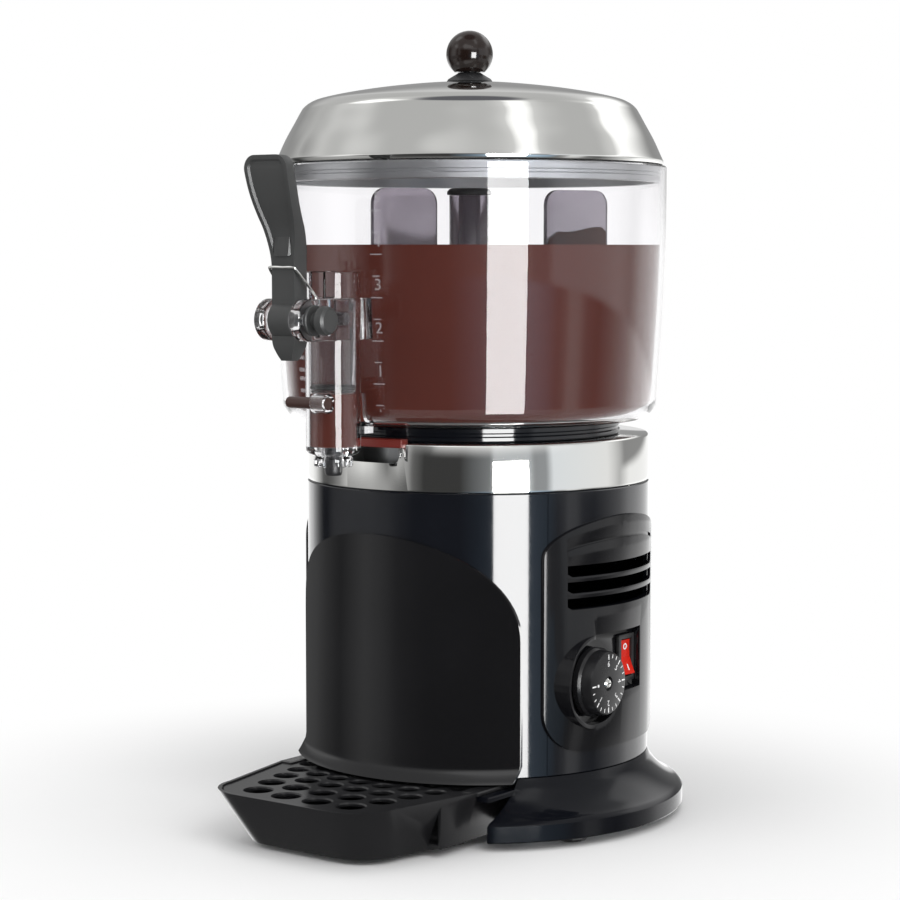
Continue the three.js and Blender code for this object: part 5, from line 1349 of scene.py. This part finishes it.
# %% Floor
FLOOR_SIZE = 1.7
PALE_WITHIN = 0.16
WHITE_BEYOND = 0.42
let_go()
bpy.ops.mesh.primitive_plane_add(size=FLOOR_SIZE)
floor = bpy.context.object
floor.name = "studio_floor"
pale = Finish("studio_floor")
distance = pale.node("ShaderNodeVectorMath", {"operation": "LENGTH"}, {0: pale.place}, "Value")
fade = pale.node(
    "ShaderNodeMapRange", {"interpolation_type": "SMOOTHSTEP"},
    {"Value": distance, "From Min": PALE_WITHIN, "From Max": WHITE_BEYOND},
)
seen = pale.node("ShaderNodeLightPath", output="Is Camera Ray")
seen_through = pale.node("ShaderNodeLightPath", output="Is Transmission Ray")
greys = pale.blend(pale.noise(8), (0.90, 0.90, 0.90), (0.93, 0.93, 0.93))
lit = pale.surface(base_color=greys, roughness=0.7, specular_ior_level=0.1)
white = pale.node("ShaderNodeEmission", None, {"Color": (1, 1, 1), "Strength": 1.0})
share = fade * seen.combined("MAXIMUM", seen_through)
pale.done(pale.node("ShaderNodeMixShader", None, {0: share, 1: lit, 2: white}))
floor.data.materials.append(finishes["studio_floor"])
floor.visible_glossy = False
print("floor:", FLOOR_SIZE, "m wide")

# %% [markdown]
# What a polished surface shows is a matter of its own. The camera meets plain white and bounced light a
# softer white, but mirrors and clear plastic look into a drawn room: grey zones all round, in an upper and a
# lower band. They are listed by azimuth in degrees, with 0 in front of the tap, and by brightness.
# Cards could stand round the machine instead, but a zone is moved by changing one number.

# %% Zones of the room
BRIGHTEST = 1.6
UPPER_ROOM = [
    (-89, 0.12), (-85, 0.10), (-78, 0.15), (-70, 0.30), (-61, 0.66), (-47, 0.97), (-39, 0.82), (-33, 0.45),
    (-27, 0.17), (-18, 0.62), (-12, 0.40), (-8, 0.15), (0, 0.05), (24, 0.05), (33, 0.14), (44, 0.24), (47, 0.6),
    (70, 0.6), (74, 0.36), (82, 0.38), (87, 0.95), (132, 1.0), (139, 0.80), (145, 0.60), (151, 0.85),
    (157, 1.1), (248, 1.1), (255, 0.9), (263, 0.45), (269, 0.12),
]
LOWER_ROOM = [
    (-89, 0.05), (-85, 0.05), (-75, 0.28), (-58, 0.42), (-40, 0.48), (-27, 0.42), (-19, 0.2), (-8, 0.06),
    (24, 0.05), (36, 0.2), (44, 0.36), (47, 0.6), (70, 0.75), (76, 0.62), (84, 0.42), (90, 0.25), (95, 0.45),
    (98, 0.85), (104, 0.75), (110, 0.26), (119, 0.14), (126, 0.32), (134, 0.55), (145, 0.9), (156, 1.5),
    (248, 1.5), (256, 0.9), (263, 0.35), (269, 0.05),
]
room_at_lid = [(azimuth, 0.33 if 150 < azimuth < 260 else grey) for azimuth, grey in UPPER_ROOM]


def round_stops(table, blue):
    """Turns azimuth and brightness into stops from 0 to 1, with a lean towards blue beside the strip."""
    return [
        ((azimuth + 90) / 360, grey / BRIGHTEST, blue if 30 < azimuth < 89 else 0.0)
        for azimuth, grey in table
    ]


print("zones:", len(UPPER_ROOM), "above and", len(LOWER_ROOM), "below")

# %% [markdown]
# Three helpers draw that room: a ramp turns a share into a row of greys, a soft step runs from one value to
# another, and the last one asks what kind of ray is looking. A panorama picture could take their place, but
# nodes need no file and stay easy to change.

# %% World helpers
world = bpy.data.worlds.new("studio_world")
bpy.context.scene.world = world
world.use_nodes = True
sky = Nodes(world.node_tree, "ShaderNodeOutputWorld")


def ramp(share, stops):
    """A colour ramp whose stops are given as place, brightness and a lean towards blue."""
    made = sky.tree.nodes.new("ShaderNodeValToRGB")
    for position, grey, blue in stops:
        made.color_ramp.elements.new(position).color = (grey * (1 - blue), grey, min(grey * (1 + blue), 1), 1)
    made.color_ramp.elements.remove(made.color_ramp.elements[0])
    made.color_ramp.elements.remove(made.color_ramp.elements[-1])
    sky.tree.links.new(share.socket, made.inputs[0])
    return Wire(sky, made.outputs[0])


def share_of(value, low, high, first=0.0, last=1.0):
    """Runs softly from the first share, at the low value, to the last one, at the high value."""
    inputs = {"Value": value, 1: low, 2: high, 3: first, 4: last}
    return sky.node("ShaderNodeMapRange", {"interpolation_type": "SMOOTHSTEP"}, inputs)


def ray(kind):
    return sky.node("ShaderNodeLightPath", output=f"Is {kind} Ray")


print("world:", world.name)


# %% [markdown]
# From the horizon up, the zones behind the machine are darker, except for rays that pass through plastic.
# That draws the lid's edges against the backdrop and keeps the view through the bowl light. A cloudy ceiling
# hangs over it all, with a dark patch straight above, and the ground far below is dark grey.

# %% World
look = sky.node("ShaderNodeTexCoord")
up = sky.node("ShaderNodeSeparateXYZ", None, {0: look}, 2)
around = sky.node("ShaderNodeTexGradient", {"gradient_type": "RADIAL"}, {0: look}, 1)
cloud = sky.node("ShaderNodeTexNoise", None, {"Vector": look, "Scale": 1.5, "Detail": 1.0})
upper, lower = ramp(around, round_stops(UPPER_ROOM, 0.04)), ramp(around, round_stops(LOWER_ROOM, 0.25))
room = sky.blend(share_of(up, -0.098, -0.087), lower, upper)
room = sky.blend(share_of(up, -0.62, -0.34), (0.10, 0.10, 0.10), room)
lid_share = share_of(up, -0.02, 0.05) * share_of(ray("Transmission"), 0, 1, 1, 0)
room = sky.blend(lid_share, room, ramp(around, round_stops(room_at_lid, 0.04)))
ceiling = ramp(share_of(cloud, 0.36, 0.64), [(0.0, 0.36, 0), (0.35, 0.43, 0), (0.7, 0.50, 0), (1.0, 0.56, 0)])
ceiling = sky.blend(share_of(up, 0.92, 0.975), ceiling, (0.09, 0.09, 0.10))
room = sky.blend(share_of(up, 0.24, 0.52), room, ceiling)
mirrored = sky.node("ShaderNodeBackground", None, {"Color": room, "Strength": BRIGHTEST})
soft = sky.node("ShaderNodeBackground", None, {"Color": (1, 1, 1), "Strength": 0.55})
shown = sky.node("ShaderNodeBackground", None, {"Color": (1, 1, 1), "Strength": 1.0})
for kind, light in (("Diffuse", soft), ("Glossy", mirrored), ("Transmission", mirrored)):
    shown = sky.node("ShaderNodeMixShader", None, {0: ray(kind), 1: shown, 2: light})
sky.done(shown)
print("world nodes:", len(sky.tree.nodes))

# %% [markdown]
# The lamps are large and soft, and nothing mirrors them. The white world could light the machine alone, but
# three lamps give its shadow a side.

# %% Lamps
AIM = Vector((0, 0, 0.2))


def softbox(name, azimuth, elevation, reach, size, watts):
    data = bpy.data.lights.new(name, "AREA")
    data.shape = "RECTANGLE"
    data.size, data.size_y = size
    data.energy = watts
    lamp = bpy.data.objects.new(name, data)
    bpy.context.scene.collection.objects.link(lamp)
    a, e = math.radians(azimuth), math.radians(elevation)
    lamp.location = AIM + reach * Vector((math.sin(a) * math.cos(e), -math.cos(a) * math.cos(e), math.sin(e)))
    lamp.rotation_euler = (AIM - lamp.location).to_track_quat("-Z", "Y").to_euler()
    lamp.visible_glossy = lamp.visible_transmission = lamp.visible_camera = False
    print(name, [round(value, 2) for value in lamp.location])


softbox("key_light", 62, 32, 1.9, (1.2, 1.2), 17)
softbox("fill_light", -30, 25, 2.0, (1.6, 1.2), 8)
softbox("top_light", 20, 80, 1.8, (1.6, 1.6), 9)

# %% [markdown]
# One tall strip of light is brighter than the room's zones can be. It is a curved card that only mirrors and
# gloss can see. The spin runs clockwise, from the end of the strip to its start.

# %% Strip card
STRIP_FROM, STRIP_TO = 46.5, 69.5
STRIP_LOW, STRIP_HIGH = -385, 620
STRIP_REACH = 1900
STRIP_GLOW = 22
end = math.radians(STRIP_TO)
corner = (STRIP_REACH * math.sin(end), -STRIP_REACH * math.cos(end), STRIP_LOW)
strip = start_vertex("card_strip", corner)
pull_along([corner, (*corner[:2], STRIP_HIGH)])
bpy.ops.mesh.select_all(action="SELECT")
bpy.ops.mesh.spin(steps=24, angle=math.radians(STRIP_TO - STRIP_FROM), center=(0, 0, 0), axis=(0, 0, 1))
bpy.ops.object.mode_set(mode="OBJECT")
glow = Finish("card_strip")
glow.done(glow.node("ShaderNodeEmission", None, {"Color": (1, 1, 1), "Strength": STRIP_GLOW}))
strip.data.materials.append(finishes["card_strip"])
for kind in ("camera", "diffuse", "transmission", "shadow", "volume_scatter"):
    setattr(strip, f"visible_{kind}", False)
print("strip faces:", len(strip.data.polygons))
